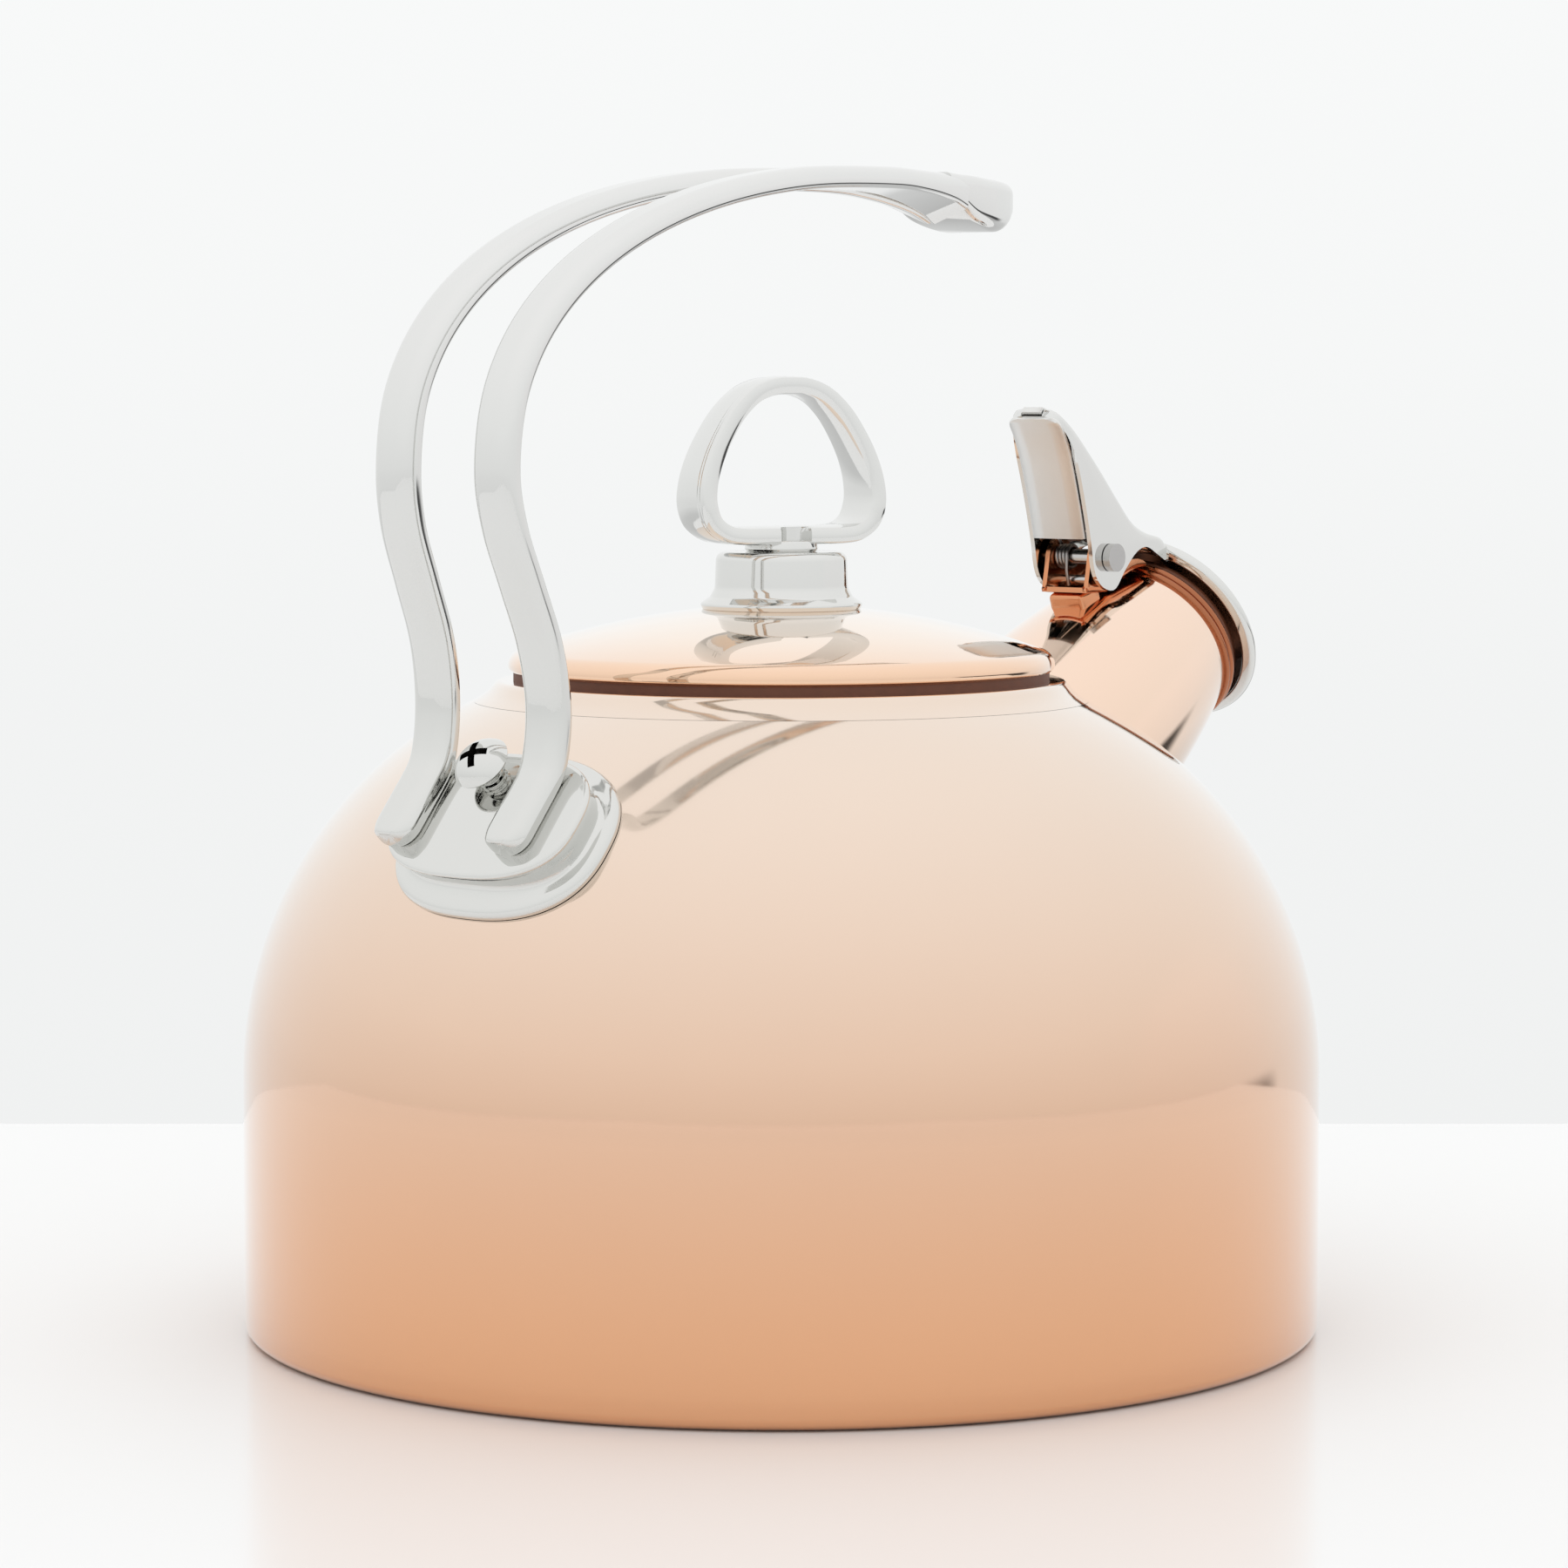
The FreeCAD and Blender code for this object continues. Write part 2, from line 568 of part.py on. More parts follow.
def build_spout():
    wall = "spout_wall"
    tube = turned("spout_blank", [
        ("spout_root - %s" % wall, "-spout_length", "-(spout_flare - %s)" % wall),
        ("spout_root", "-spout_length"),
        ("mouth_radius", "0", "spout_flare"),
        ("mouth_radius", "bead_pitch", "bead_radius"),
        ("mouth_radius", MOUTH_END, "bead_radius"),
        ("mouth_radius - %s" % wall, MOUTH_END),
        ("mouth_radius - %s" % wall, "0"),
    ], on_spout)
    keep(cut("spout_tube", tube, dome("dome_outside", "0")))


def build_bracket():
    ear_in = "(ear_spacing / 2)"
    ear_out = "(ear_spacing / 2 + ear_thick)"
    saddle = turned("saddle_blank", [
        ("mouth_radius - 0.4", "-1"),
        ("mouth_radius - 0.4", "-1 - saddle_length"),
        ("mouth_radius + ear_thick + saddle_rise", "-1 - saddle_length"),
        ("mouth_radius + ear_thick + 0.1", "-1", "spout_flare"),
    ], on_spout)
    trim = box("saddle_trim", ("30", "saddle_width", "40"), ("-30", "-saddle_width / 2", "-35"), on_spout)
    pivot = (PIVOT_X, PIVOT_Z)
    ears = []
    for name, low, high in (("near", "-" + ear_out, "-" + ear_in), ("far", ear_in, ear_out)):
        ears.append(plate("ear_" + name, [
            ("%s - ear_radius - 1.2" % pivot[0], "%s - ear_drop" % pivot[1]),
            ("%s + ear_reach - 1.5" % pivot[0], "%s - ear_drop" % pivot[1]),
            ("%s + ear_reach" % pivot[0], "%s - 4.2" % pivot[1]),
            ("%s + ear_radius * 0.8" % pivot[0], "%s + ear_radius * 0.6" % pivot[1]),
            ("%s - ear_radius" % pivot[0], pivot[1], "ear_radius"),
        ], low, high))
    ear_pair = fuse("ear_pair", *ears)
    inside = turned("spout_inside", spout_outline("0.3"), on_spout)
    raised = cut("ears_on_spout", ear_pair, inside)
    blank = fuse("bracket_blank", common("saddle", saddle, trim), raised)
    trimmed = cut("bracket_over_spout", blank, turned("spout_solid", spout_outline("0.05"), on_spout))
    holes = fuse("bracket_holes",
                 across("pivot_hole", "pivot_radius", "-12", "12"),
                 across("stop_hole", "stop_radius", "-12", "12", PIVOT_X, PIVOT_Z + " - stop_drop"))
    keep(cut("hinge_bracket", trimmed, holes))


def build_pins():
    start = "(-%s - 0.15)" % CHEEK_OUT
    end = "(%s + 0.15)" % CHEEK_OUT
    shank = across("pin_shank", "pivot_radius", start, end)
    head = across("pin_round_head", "pin_head", "%s - pin_head_thick" % start, start)
    tail = across("pin_tail", "pin_head * 0.85", end, end + " + 0.8")
    keep(fuse("pivot_pin", shank, head, tail))
    ear_out = "(ear_spacing / 2 + ear_thick)"
    keep(across("spring_rod", "stop_radius", "-%s" % ear_out, ear_out, PIVOT_X, PIVOT_Z + " - stop_drop"))


def build_spring():
    """A coil round the cap's pin, with one leg down to the rod and one up inside the lever."""
    wire = num("spring_wire")
    coil = num("spring_coil")
    pitch = num("spring_pitch")
    turns = num("spring_turns")
    helix = Part.makeHelix(pitch, pitch * turns, coil)
    section = Part.Wire(Part.makeCircle(wire, V(coil, 0, 0), V(0, 1, 0)))
    body = Part.Wire(helix).makePipeShell([section], True, True)
    short_leg = Part.makeCylinder(wire, 4.6, V(coil, 0.2, 0), V(0, -1, 0))
    long_leg = Part.makeCylinder(wire, 8.6, V(coil, -0.2, pitch * turns), V(0, 1, 0))
    shape = body.fuse([short_leg, long_leg])
    spring = doc.addObject("Part::Feature", "return_spring")
    spring.Label = "return_spring"
    spring.Shape = shape
    turn = FreeCAD.Rotation(V(1, 0, 0), 90)
    lean = FreeCAD.Rotation(V(0, -1, 0), 8)
    place = V(num(PIVOT_X), pitch * turns / 2, num(PIVOT_Z))
    spring.Placement = FreeCAD.Placement(place, lean.multiply(turn))
    keep(spring)


# ---------------------------------------------------------------- whistle cap
# The lever from the side, in distances (along, up) from its pivot.
# Its outer line runs from the top down to the cap.
LEVER_OUTER = [
    ("-15.2", "lever_rise"),
    ("-11.2", "24.8"),
    ("-3.6", "18.2"),
    ("3", "11.5"),
    ("7.6", "6.6"),
    ("12.4", "4.3"),
    ("18.6", "2.6"),
    ("19.3", "1.4"),
]
# The free edge of each cheek comes back over the cap, round the pivot lobe and up to the top.
LOBE_RADIUS = "5.7"
CHEEK_FREE = [
    ("19.4", "-2.2"),
    ("15.4", "-0.4"),
    ("11.8", "1.6"),
    ("8.6", "0.8"),
    ("4.4", "-2.6"),
    ("1.2", "-6.2"),
    ("-5", "-2.6", "-" + LOBE_RADIUS),
    ("-6", "3.3"),
    ("-8.4", "11.8"),
    ("-10.8", "19.8"),
    ("-13.4", "24.6"),
    ("-17.6", "27.6"),
]
# The thin plate that closes the lever's back, and the tab that joins it to the web.
PLATE_FOOT = ("-5.2", "3.8")
PLATE_HEAD = ("-13", "23.2")
PLATE_TAB = [("-12.4", "22.8"), ("-13.1", "24"), ("-15.3", "26.1"), ("-15.9", "25.5"), ("-13.7", "22.6")]
TAB_HALF_WIDTH = "2.6"
WEB_SHIFT = "0.8"


def from_pivot(line, along="0", up="0"):
    """Corners given as distances from the pivot, moved by (along, up), in the row frame."""
    moved = []
    for corner in line:
        place = ("%s + %s + %s" % (PIVOT_X, corner[0], along), "%s + %s + %s" % (PIVOT_Z, corner[1], up))
        moved.append(place + tuple(corner[2:]))
    return moved


def build_cap():
    px = PIVOT_X
    pz = PIVOT_Z
    sheet_thick = "cheek_thick"
    edge = "(cap_stand + cap_depth)"
    crown = "(cap_radius^2 / (2 * cap_crown) + cap_crown / 2)"
    dish = turned("cap_dish", [
        ("cap_hole", edge + " + cap_crown", crown),
        ("cap_hole", edge + " + cap_crown - " + sheet_thick),
        ("cap_radius - 1.1", edge + " - 0.1", "-(%s - cheek_thick)" % crown),
        ("cap_lip - 0.7", "cap_stand + 0.5", "-2.2"),
        ("cap_lip", "cap_stand"),
        ("cap_radius", edge, "cap_depth + 0.2"),
    ], on_spout)
    outer = from_pivot(LEVER_OUTER)
    cheek_outline = outer + from_pivot(CHEEK_FREE)
    web_inner = from_pivot(reversed(LEVER_OUTER), "-" + WEB_SHIFT, "-" + WEB_SHIFT)
    web = plate("lever_web", outer + web_inner, "-" + CHEEK_OUT, CHEEK_OUT)
    near = plate("cheek_near", cheek_outline, "-" + CHEEK_OUT, "-" + CHEEK_IN)
    far = plate("cheek_far", cheek_outline, CHEEK_IN, CHEEK_OUT)
    blank = fuse("cap_blank", dish, web, near, far)
    hole = across("cheek_holes", "pivot_radius + pivot_clearance", "-12", "12")
    top = "(%s + lever_rise)" % pz
    low = "(%s - lever_round)" % top
    back = "(%s - 28)" % px
    middle = "(%s - lever_round)" % CHEEK_OUT
    rounds = []
    for name, y in (("near", "-" + middle), ("far", middle)):
        label = "lever_round_" + name
        rounds.append(cylinder(label, "lever_round", "lever_block", back, y, low, V(0, 1, 0), "90"))
    between = box("lever_between", ("lever_block", "2 * " + middle, "lever_round + 2"),
                  (back, "-" + middle, low))
    corner_block = box("lever_corner_block", ("lever_block - 2", "2 * %s + 4" % CHEEK_OUT, "lever_round + 4"),
                       (back + " + 1", "-%s - 2" % CHEEK_OUT, low))
    corners = cut("lever_corners", corner_block, fuse("lever_top_shape", between, *rounds))
    keep(cut("cap_lever", blank, fuse("lever_cuts", hole, corners)))
    inside = "(%s - 0.05)" % CHEEK_IN
    foot = from_pivot([PLATE_FOOT])
    head = from_pivot([PLATE_HEAD])
    foot_back = from_pivot([PLATE_FOOT], "cheek_thick", "0.3")
    head_back = from_pivot([PLATE_HEAD], "cheek_thick", "0.3")
    flat = plate("inner_plate_flat", foot + foot_back + head_back + head, "-" + inside, inside)
    tab = plate("inner_plate_tab", from_pivot(PLATE_TAB), "-" + TAB_HALF_WIDTH, TAB_HALF_WIDTH)
    trimmed = cut("inner_plate_rounded", flat, corners)
    keep(fuse("lever_inner_plate", trimmed, tab))


def build_whistle():
    face = "(%s + seal_gap + seal_thick)" % MOUTH_END
    flange = "(mouth_radius - 0.3)"
    keep(turned("mouth_seal", [
        ("whistle_radius + 1.5", "%s - seal_thick" % face),
        (flange, "%s - seal_thick" % face),
        (flange, face),
        ("whistle_radius + 1.5", face),
    ], on_spout))
    inner = "(whistle_radius - whistle_wall)"
    floor = "(%s - whistle_depth)" % face
    keep(turned("whistle_cup", [
        (inner, floor),
        ("whistle_radius", floor),
        ("whistle_radius", face),
        (flange, face),
        (flange, "%s + whistle_wall" % face),
        (inner, "%s + whistle_wall" % face),
    ], on_spout))
    outer_start = "(%s - whistle_wall)" % face
    for label, start in (("whistle_inner_plate", floor), ("whistle_outer_plate", outer_start)):
        keep(turned(label, [
            ("whistle_hole", start),
            (inner + " - 0.02", start),
            (inner + " - 0.02", start + " + whistle_wall"),
            ("whistle_hole", start + " + whistle_wall"),
        ], on_spout))
    foot = "(%s + whistle_wall)" % face
    keep(turned("whistle_clamp_ring", [
        (inner, foot),
        (inner + " + 2", foot),
        (inner + " + 2", "cap_stand + cap_depth + cap_crown - cheek_thick - 1.5"),
        (inner, "cap_stand + cap_depth + cap_crown - cheek_thick - 1.3"),
    ], on_spout))


# ---------------------------------------------------------------- pedestal and fixings
def handle_bore(label, radius, low, high):
    piece = cylinder(label, radius, "(%s) - (%s)" % (high, low))
    x = "(%s - (%s) * %s)" % (SCREW_X, low, RISE_COS)
    z = "(%s + (%s) * %s)" % (SCREW_Z, low, RISE_SIN)
    on_pedestal(piece, x, z)
    return piece


def oval(label, half_width, half_length, low, high):
    """An oval block on the pedestal, wider across the kettle than up the slope."""
    body = doc.addObject("PartDesign::Body", label)
    body.Label = label
    sketch = new_sketch(body, "XY_Plane", label + "_oval")
    end = "(%s * pedestal_fullness)" % half_length
    side = "(((%s)^2 + (%s)^2 - 2 * (%s) * %s) / (2 * ((%s) - %s)))" % (
        half_width, half_length, half_width, end, half_length, end)
    along = "(%s * ((%s) - %s) / (%s - %s))" % (side, half_width, end, side, end)
    over = "((%s) - %s + %s * (%s - (%s)) / (%s - %s))" % (
        half_length, side, side, side, half_length, side, end)
    draw(sketch, [
        (over, along, side),
        ("-" + over, along, end),
        ("-" + over, "-" + along, side),
        (over, "-" + along, end),
    ])
    feature = body.newObject("PartDesign::Pad", label + "_pad")
    feature.Profile = sketch
    feature.setExpression("Length", bound("(%s) - (%s)" % (high, low)))
    x = "(%s - (%s) * %s)" % (PEDESTAL_X, low, RISE_COS)
    z = "(%s + (%s) * %s)" % (PEDESTAL_Z, low, RISE_SIN)
    on_pedestal(body, x, z, "pedestal_shift")
    return body


def build_pedestal():
    wide = "pedestal_half_width"
    long = "pedestal_half_length"
    top = "pedestal_height"
    flange = common("flange_curved", oval("flange_oval", wide, long, "-9", "6"),
                    dome("dome_flange_top", "(gasket_thick + pedestal_flange)"))
    flat_wide = "plateau_half_width"
    flat_long = "plateau_half_length"
    waist = oval("waist_oval", flat_wide + " - waist_inset", flat_long + " - waist_inset", "-9", top)
    rim = oval("plateau_oval", flat_wide, flat_long, top + " - plateau_thick", top)
    blank = fuse("pedestal_blank", flange, waist, rim)
    under = cut("pedestal_on_gasket", blank, dome("dome_gasket_top", "gasket_thick"))
    bore = handle_bore("pedestal_bore", "screw_radius + screw_slip", "-8", "8")
    sink = handle_bore("pedestal_sink", "screw_counterbore", top + " - 2.2", top + " + 2")
    keep(cut("handle_pedestal", under, fuse("pedestal_holes", bore, sink)))
    gasket = common("gasket_curved",
                    oval("gasket_oval", wide + " - gasket_inset", long + " - gasket_inset", "-8", "3"),
                    cut("gasket_layer", dome("dome_gasket", "gasket_thick"), dome("dome_skin", "0")))
    keep(cut("pedestal_gasket", gasket, handle_bore("gasket_bore", "screw_radius + screw_slip", "-6", "6")))


def build_inner_fixings():
    skin = "-shell_wall"
    seal = "(%s - inner_seal)" % skin
    back = "(%s - inner_plate)" % seal
    levels = [dome("level_%d" % index, "(%s)" % text) for index, text in enumerate((skin, seal, back))]
    bore = "screw_radius + screw_slip"
    for label, upper, lower in (("inner_seal_washer", 0, 1), ("inner_clamp_plate", 1, 2)):
        disc = handle_bore(label + "_disc", "inner_radius", "-9", "0")
        layer = cut(label + "_layer", levels[upper], levels[lower])
        ring = common(label + "_blank", disc, layer)
        keep(cut(label, ring, handle_bore(label + "_bore", bore, "-12", "6")))
    prism = doc.addObject("Part::Prism", "nut_prism")
    prism.Polygon = 6
    prism.setExpression("Circumradius", bound("nut_across / sqrt(3)"))
    prism.setExpression("Height", bound("nut_high + 2"))
    low = "(-(shell_wall + inner_seal + inner_plate) - nut_high)"
    x = "(%s - %s * %s)" % (SCREW_X, low, RISE_COS)
    z = "(%s + %s * %s)" % (SCREW_Z, low, RISE_SIN)
    on_pedestal(prism, x, z)
    seated = common("nut_seated", prism, levels[2])
    keep(cut("handle_nut", seated, handle_bore("nut_bore", "screw_radius", "-14", "6")))
    shank_end = "(%s - 1.5)" % low
    head = "(pedestal_height + screw_stand)"
    shank = handle_bore("screw_shank", "screw_radius", shank_end, head + " + 0.5")
    crown = "(screw_head^2 / (2 * screw_head_high) + screw_head_high / 2)"
    dome_head = turned("screw_dome", [
        ("0", "0"),
        ("screw_head", "0"),
        ("screw_head", "0.5"),
        ("0", "screw_head_high", crown),
    ])
    head_x = "(%s - %s * %s)" % (SCREW_X, head, RISE_COS)
    head_z = "(%s + %s * %s)" % (SCREW_Z, head, RISE_SIN)
    on_pedestal(dome_head, head_x, head_z)
    blank = fuse("screw_blank", shank, dome_head)
    slots = []
    upright = FreeCAD.Rotation(V(0, -1, 0), 90 - num("pedestal_rise"))
    turn = upright.multiply(FreeCAD.Rotation(V(0, 0, 1), num("slot_turn")))
    slot_floor = num(head + " + screw_head_high - slot_deep")
    origin = V(num(SCREW_X), 0, num(SCREW_Z)) + upright.multVec(V(0, 0, slot_floor))
    for index, (length, width) in enumerate((("slot_length", "slot_width"), ("slot_width", "slot_length"))):
        slot = doc.addObject("Part::Box", "cross_slot_%d" % index)
        slot.setExpression("Length", bound(length))
        slot.setExpression("Width", bound(width))
        slot.setExpression("Height", bound("2 * slot_deep"))
        corner = turn.multVec(V(-num(length) / 2, -num(width) / 2, 0))
        slot.Placement = FreeCAD.Placement(origin + corner, turn)
        slots.append(slot)
    keep(cut("handle_screw", blank, fuse("cross_recess", *slots)))


# ---------------------------------------------------------------- handle
def pedestal_point(up, out):
    """A point in the XZ plane, given up the slope and out from the shoulder at the pedestal."""
    angle = math.radians(num("pedestal_rise"))
    x = num(PEDESTAL_X) + up * math.sin(angle) - out * math.cos(angle)
    z = num(PEDESTAL_Z) + up * math.cos(angle) + out * math.sin(angle)
    return V(x, 0, z)


def handle_line():
    """Stations along the outer line of the handle, from where the feet leave the flat top to the tip.

    Each is (point, half spacing of the legs, thickness of a leg, extra depth on its slot side)."""
    thick = num("leg_thick")
    foot = pedestal_point(num("foot_leave"), num("pedestal_height") + thick)
    waist = V(foot.x + num("waist_inward"), 0, foot.z + num("waist_rise"))
    back = V(foot.x - num("back_overhang"), 0, foot.z + num("back_rise"))
    top = V(num("arch_reach"), 0, num("arch_height"))
    spread = num("foot_spread")
    arch = num("arch_spread")
    stations = []
    lift = pedestal_point(num("foot_leave") + 4.5, num("pedestal_height") + thick + 0.7)
    stations.append((lift, spread, thick, 0.0))
    stations.append((waist, spread, thick, 0.0))
    for step in range(1, 5):
        part = step / 4.0
        ease = (1 - math.cos(math.pi * part)) / 2
        point = V(waist.x + (back.x - waist.x) * ease, 0, waist.z + (back.z - waist.z) * part)
        stations.append((point, spread + (arch - spread) * part, thick, 0.0))
    power = 2.0 / num("arch_power")
    joined = num("beak_half_width") - num("leg_width") / 2
    # The legs close in slowly at first and quickly near the tip, and their keels grow later still.
    closing = 2.2
    keel_growth = 6
    closing_start = 60.0
    end = num("slot_end")
    for step in range(1, 10):
        angle = math.radians(step * 10.0)
        x = top.x + (back.x - top.x) * math.cos(angle) ** power
        z = back.z + (top.z - back.z) * math.sin(angle) ** power
        past = max(0.0, (x + closing_start) / (end + closing_start))
        keel = num("beak_keel") * past ** keel_growth
        stations.append((V(x, 0, z), arch + (joined - arch) * past ** closing, thick, keel))
    for part, depth in ((0.45, 0.04), (0.8, 0.18), (1.0, 0.38)):
        x = top.x + (end - top.x) * part
        past = (x + closing_start) / (end + closing_start)
        drop = num("tip_drop") * ((x - top.x) / (num("tip_reach") - top.x)) ** 1.5
        deep = thick + (num("beak_depth") - thick) * depth
        keel = num("beak_keel") * past ** keel_growth
        stations.append((V(x, 0, top.z - drop), arch + (joined - arch) * past ** closing, deep, keel))
    return stations


def leg_section(point, inward, side, half_width, thick, outer_round, inner_round, keel=0.0):
    """A rounded rectangle across the handle: inward points from the outer line to the inside.

    Keel is the extra depth on the slot side of a leg."""
    near = thick + (keel if side < 0 else 0.0)
    far = thick + (keel if side > 0 else 0.0)
    across_dir = V(0, 1, 0)
    middle = V(point.x, side, point.z)
    a = half_width
    r = outer_round
    q = inner_round

    def at(y, deep):
        return middle + across_dir * y + inward * deep

    k = 1 - math.sqrt(0.5)
    edges = [
        Part.LineSegment(at(-a + r, 0), at(a - r, 0)),
        Part.Arc(at(a - r, 0), at(a - r * k, r * k), at(a, r)),
        Part.LineSegment(at(a, r), at(a, near - q)),
        Part.Arc(at(a, near - q), at(a - q * k, near - q * k), at(a - q, near)),
        Part.LineSegment(at(a - q, near), at(-a + q, far)),
        Part.Arc(at(-a + q, far), at(-a + q * k, far - q * k), at(-a, far - q)),
        Part.LineSegment(at(-a, far - q), at(-a, r)),
        Part.Arc(at(-a, r), at(-a + r * k, r * k), at(-a + r, 0)),
    ]
    return Part.Wire([edge.toShape() for edge in edges])


def inward_normals(points):
    """Unit vectors at right angles to the outer line, towards the kettle."""
    spline = Part.BSplineCurve()
    spline.interpolate(points)
    normals = []
    for point in points:
        tangent = spline.tangent(spline.parameter(point))[0]
        normals.append(V(tangent.z, 0, -tangent.x))
    return normals


def build_handle():
    thick = num("leg_thick")
    half = num("leg_width") / 2
    outer_round = num("leg_round")
    inner_round = num("leg_corner")
    spread = num("foot_spread")
    slope = math.radians(num("pedestal_rise"))
    into_pedestal = V(math.cos(slope), 0, -math.sin(slope))
    out = num("pedestal_height") + thick
    foot_end = pedestal_point(-num("foot_end"), out)
    foot_start = pedestal_point(num("foot_leave"), out)
    stations = handle_line()
    points = [foot_start] + [station[0] for station in stations]
    spreads = [spread] + [station[1] for station in stations]
    depths = [thick] + [station[2] for station in stations]
    keels = [0.0] + [station[3] for station in stations]
    normals = inward_normals(points)
    normals[0] = into_pedestal
    for index in range(-3, 0):
        normals[index] = V(0, 0, -1)
    solids = []
    for side in (-1, 1):
        foot_sections = []
        for point in (foot_end, foot_start):
            section = leg_section(point, into_pedestal, side * spread, half, thick, outer_round, inner_round)
            foot_sections.append(section)
        solids.append(Part.makeLoft(foot_sections, True, True))
        sections = [leg_section(point, normal, side * centre, half, deep, outer_round, inner_round, keel)
                    for point, normal, centre, deep, keel in zip(points, normals, spreads, depths, keels)]
        solids.append(Part.makeLoft(sections, True, False))
    tip_top = num("arch_height") - num("tip_drop")
    start = V(num("slot_end") - 1.5, 0, points[-1].z + 0.05)
    depth = num("beak_depth")
    wide = num("beak_half_width")
    narrow = num("beak_end_half_width")
    reach = num("tip_reach")
    middle = V((start.x + reach) / 2 - 1, 0, (start.z + tip_top) / 2 + 0.3)
    # Each section of the beak: outer point, half width, depth, upper and lower corner radius.
    beak = [
        (start, wide, depth * 0.66, 1.9, 0.9),
        (middle, (wide + narrow) / 2 + 0.4, depth - 0.5, 1.9, 2.2),
        (V(reach - 5, 0, tip_top + 0.1), narrow + 0.3, depth, 1.9, 2.2),
        (V(reach - 1.6, 0, tip_top - 0.2), narrow - 0.5, depth - 2.4, 1.9, 1.9),
        (V(reach, 0, tip_top - 0.9), narrow - 1.8, depth - 4.8, 1.4, 1.4),
    ]
    beak_sections = [leg_section(point, V(0, 0, -1), 0, width, deep, round_top, round_low)
                     for point, width, deep, round_top, round_low in beak]
    solids.append(Part.makeLoft(beak_sections, True, True))
    joined = solids[0].fuse(solids[1:]).removeSplitter()
    flat_top = Part.makeBox(60, 60, 12, V(-30, -30, num("pedestal_height") - 12))
    flat_top.Placement = FreeCAD.Placement(
        V(num(PEDESTAL_X), 0, num(PEDESTAL_Z)), FreeCAD.Rotation(V(0, -1, 0), 90 - num("pedestal_rise"))
    ).multiply(flat_top.Placement)
    shape = joined.cut(flat_top)
    handle = doc.addObject("Part::Feature", "handle_bar")
    handle.Label = "handle_bar"
    handle.Shape = shape
    handle.Placement = FreeCAD.Placement()
    keep(handle)


build_body()
build_base()
build_seat()
build_lid()
build_knob()
build_spout()
build_bracket()
build_pins()
build_spring()
build_cap()
build_whistle()
build_pedestal()
build_inner_fixings()
build_handle()
doc.recompute()

# ---------------------------------------------------------------- checks and files
for piece in doc.Objects:
    bad = [state for state in piece.State if state in ("Invalid", "Error")]
    if bad:
        raise RuntimeError("%s (%s) failed to build" % (piece.Name, piece.Label))
for piece in nodes:
    if piece.Shape.isNull() or not piece.Shape.isValid():
        raise RuntimeError("%s has no sound shape" % piece.Label)

os.makedirs("parts", exist_ok=True)
for piece in nodes:
    piece.Shape.exportStep(os.path.join("parts", piece.Label + ".step"))
    size = piece.Shape.BoundBox
    print("%-22s solids %d volume %9.1f  x %.1f..%.1f  y %.1f..%.1f  z %.1f..%.1f" % (
        piece.Label, len(piece.Shape.Solids), piece.Shape.Volume,
        size.XMin, size.XMax, size.YMin, size.YMax, size.ZMin, size.ZMax))
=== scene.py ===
import bpy
import bmesh
import math
from mathutils import Matrix, Vector


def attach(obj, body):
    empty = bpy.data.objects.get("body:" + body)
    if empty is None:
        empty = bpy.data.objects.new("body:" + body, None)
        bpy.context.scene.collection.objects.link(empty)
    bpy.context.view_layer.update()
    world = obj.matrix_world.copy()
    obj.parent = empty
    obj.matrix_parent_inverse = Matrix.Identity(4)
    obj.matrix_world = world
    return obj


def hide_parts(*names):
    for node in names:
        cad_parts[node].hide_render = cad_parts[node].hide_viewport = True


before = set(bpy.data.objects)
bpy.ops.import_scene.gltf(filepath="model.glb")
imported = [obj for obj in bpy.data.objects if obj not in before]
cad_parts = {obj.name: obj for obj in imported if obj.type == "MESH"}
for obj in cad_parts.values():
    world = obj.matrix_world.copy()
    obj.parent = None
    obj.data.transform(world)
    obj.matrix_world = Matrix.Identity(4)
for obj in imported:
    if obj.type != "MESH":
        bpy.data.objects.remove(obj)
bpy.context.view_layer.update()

MM = 0.001
ROOT, CAP, LID = "kettle", "whistle_cap", "lid"


# ------------------------------------------------------------------ sizes, in millimetres
BODY_R = 95.0
STRAIGHT = 45.0
SHOULDER_R = 73.5
SHOULDER_X = BODY_R - SHOULDER_R
OPENING_R = 48.0
OPENING_Z = STRAIGHT + math.sqrt(SHOULDER_R ** 2 - (OPENING_R - SHOULDER_X) ** 2)
SEAT_TOP = OPENING_Z + 0.9
LID_R = 48.2
LID_BOTTOM = SEAT_TOP + 1.9
LID_SHOULDER = LID_BOTTOM + 3.6
LID_TOP = LID_SHOULDER + 7.6
KNOB_TOP = LID_TOP + 9.4
RING_BOTTOM = KNOB_TOP + 1.4
MOUTH = Vector((112.4, 0.0, 115.3))
SPOUT_TILT = math.radians(30.0)
SPOUT_OUT = Vector((math.cos(SPOUT_TILT), 0.0, math.sin(SPOUT_TILT)))
SPOUT_UP = Vector((-math.sin(SPOUT_TILT), 0.0, math.cos(SPOUT_TILT)))
PIVOT = MOUTH - SPOUT_OUT * 10.4 + SPOUT_UP * 26.85
CHEEK_OUT = 7.05
RISE = math.radians(40.8)
SLOPE_OUT = Vector((-math.cos(RISE), 0.0, math.sin(RISE)))
SLOPE_UP = Vector((math.sin(RISE), 0.0, math.cos(RISE)))
PEDESTAL = Vector((-SHOULDER_X - SHOULDER_R * math.cos(RISE), 0.0, STRAIGHT + SHOULDER_R * math.sin(RISE)))
PEDESTAL_SHIFT = -3.4
PLATEAU_HIGH = 5.2
SPOUT_FRAME = Matrix.Translation(MOUTH) @ Matrix.Rotation(math.radians(60.0), 4, "Y")


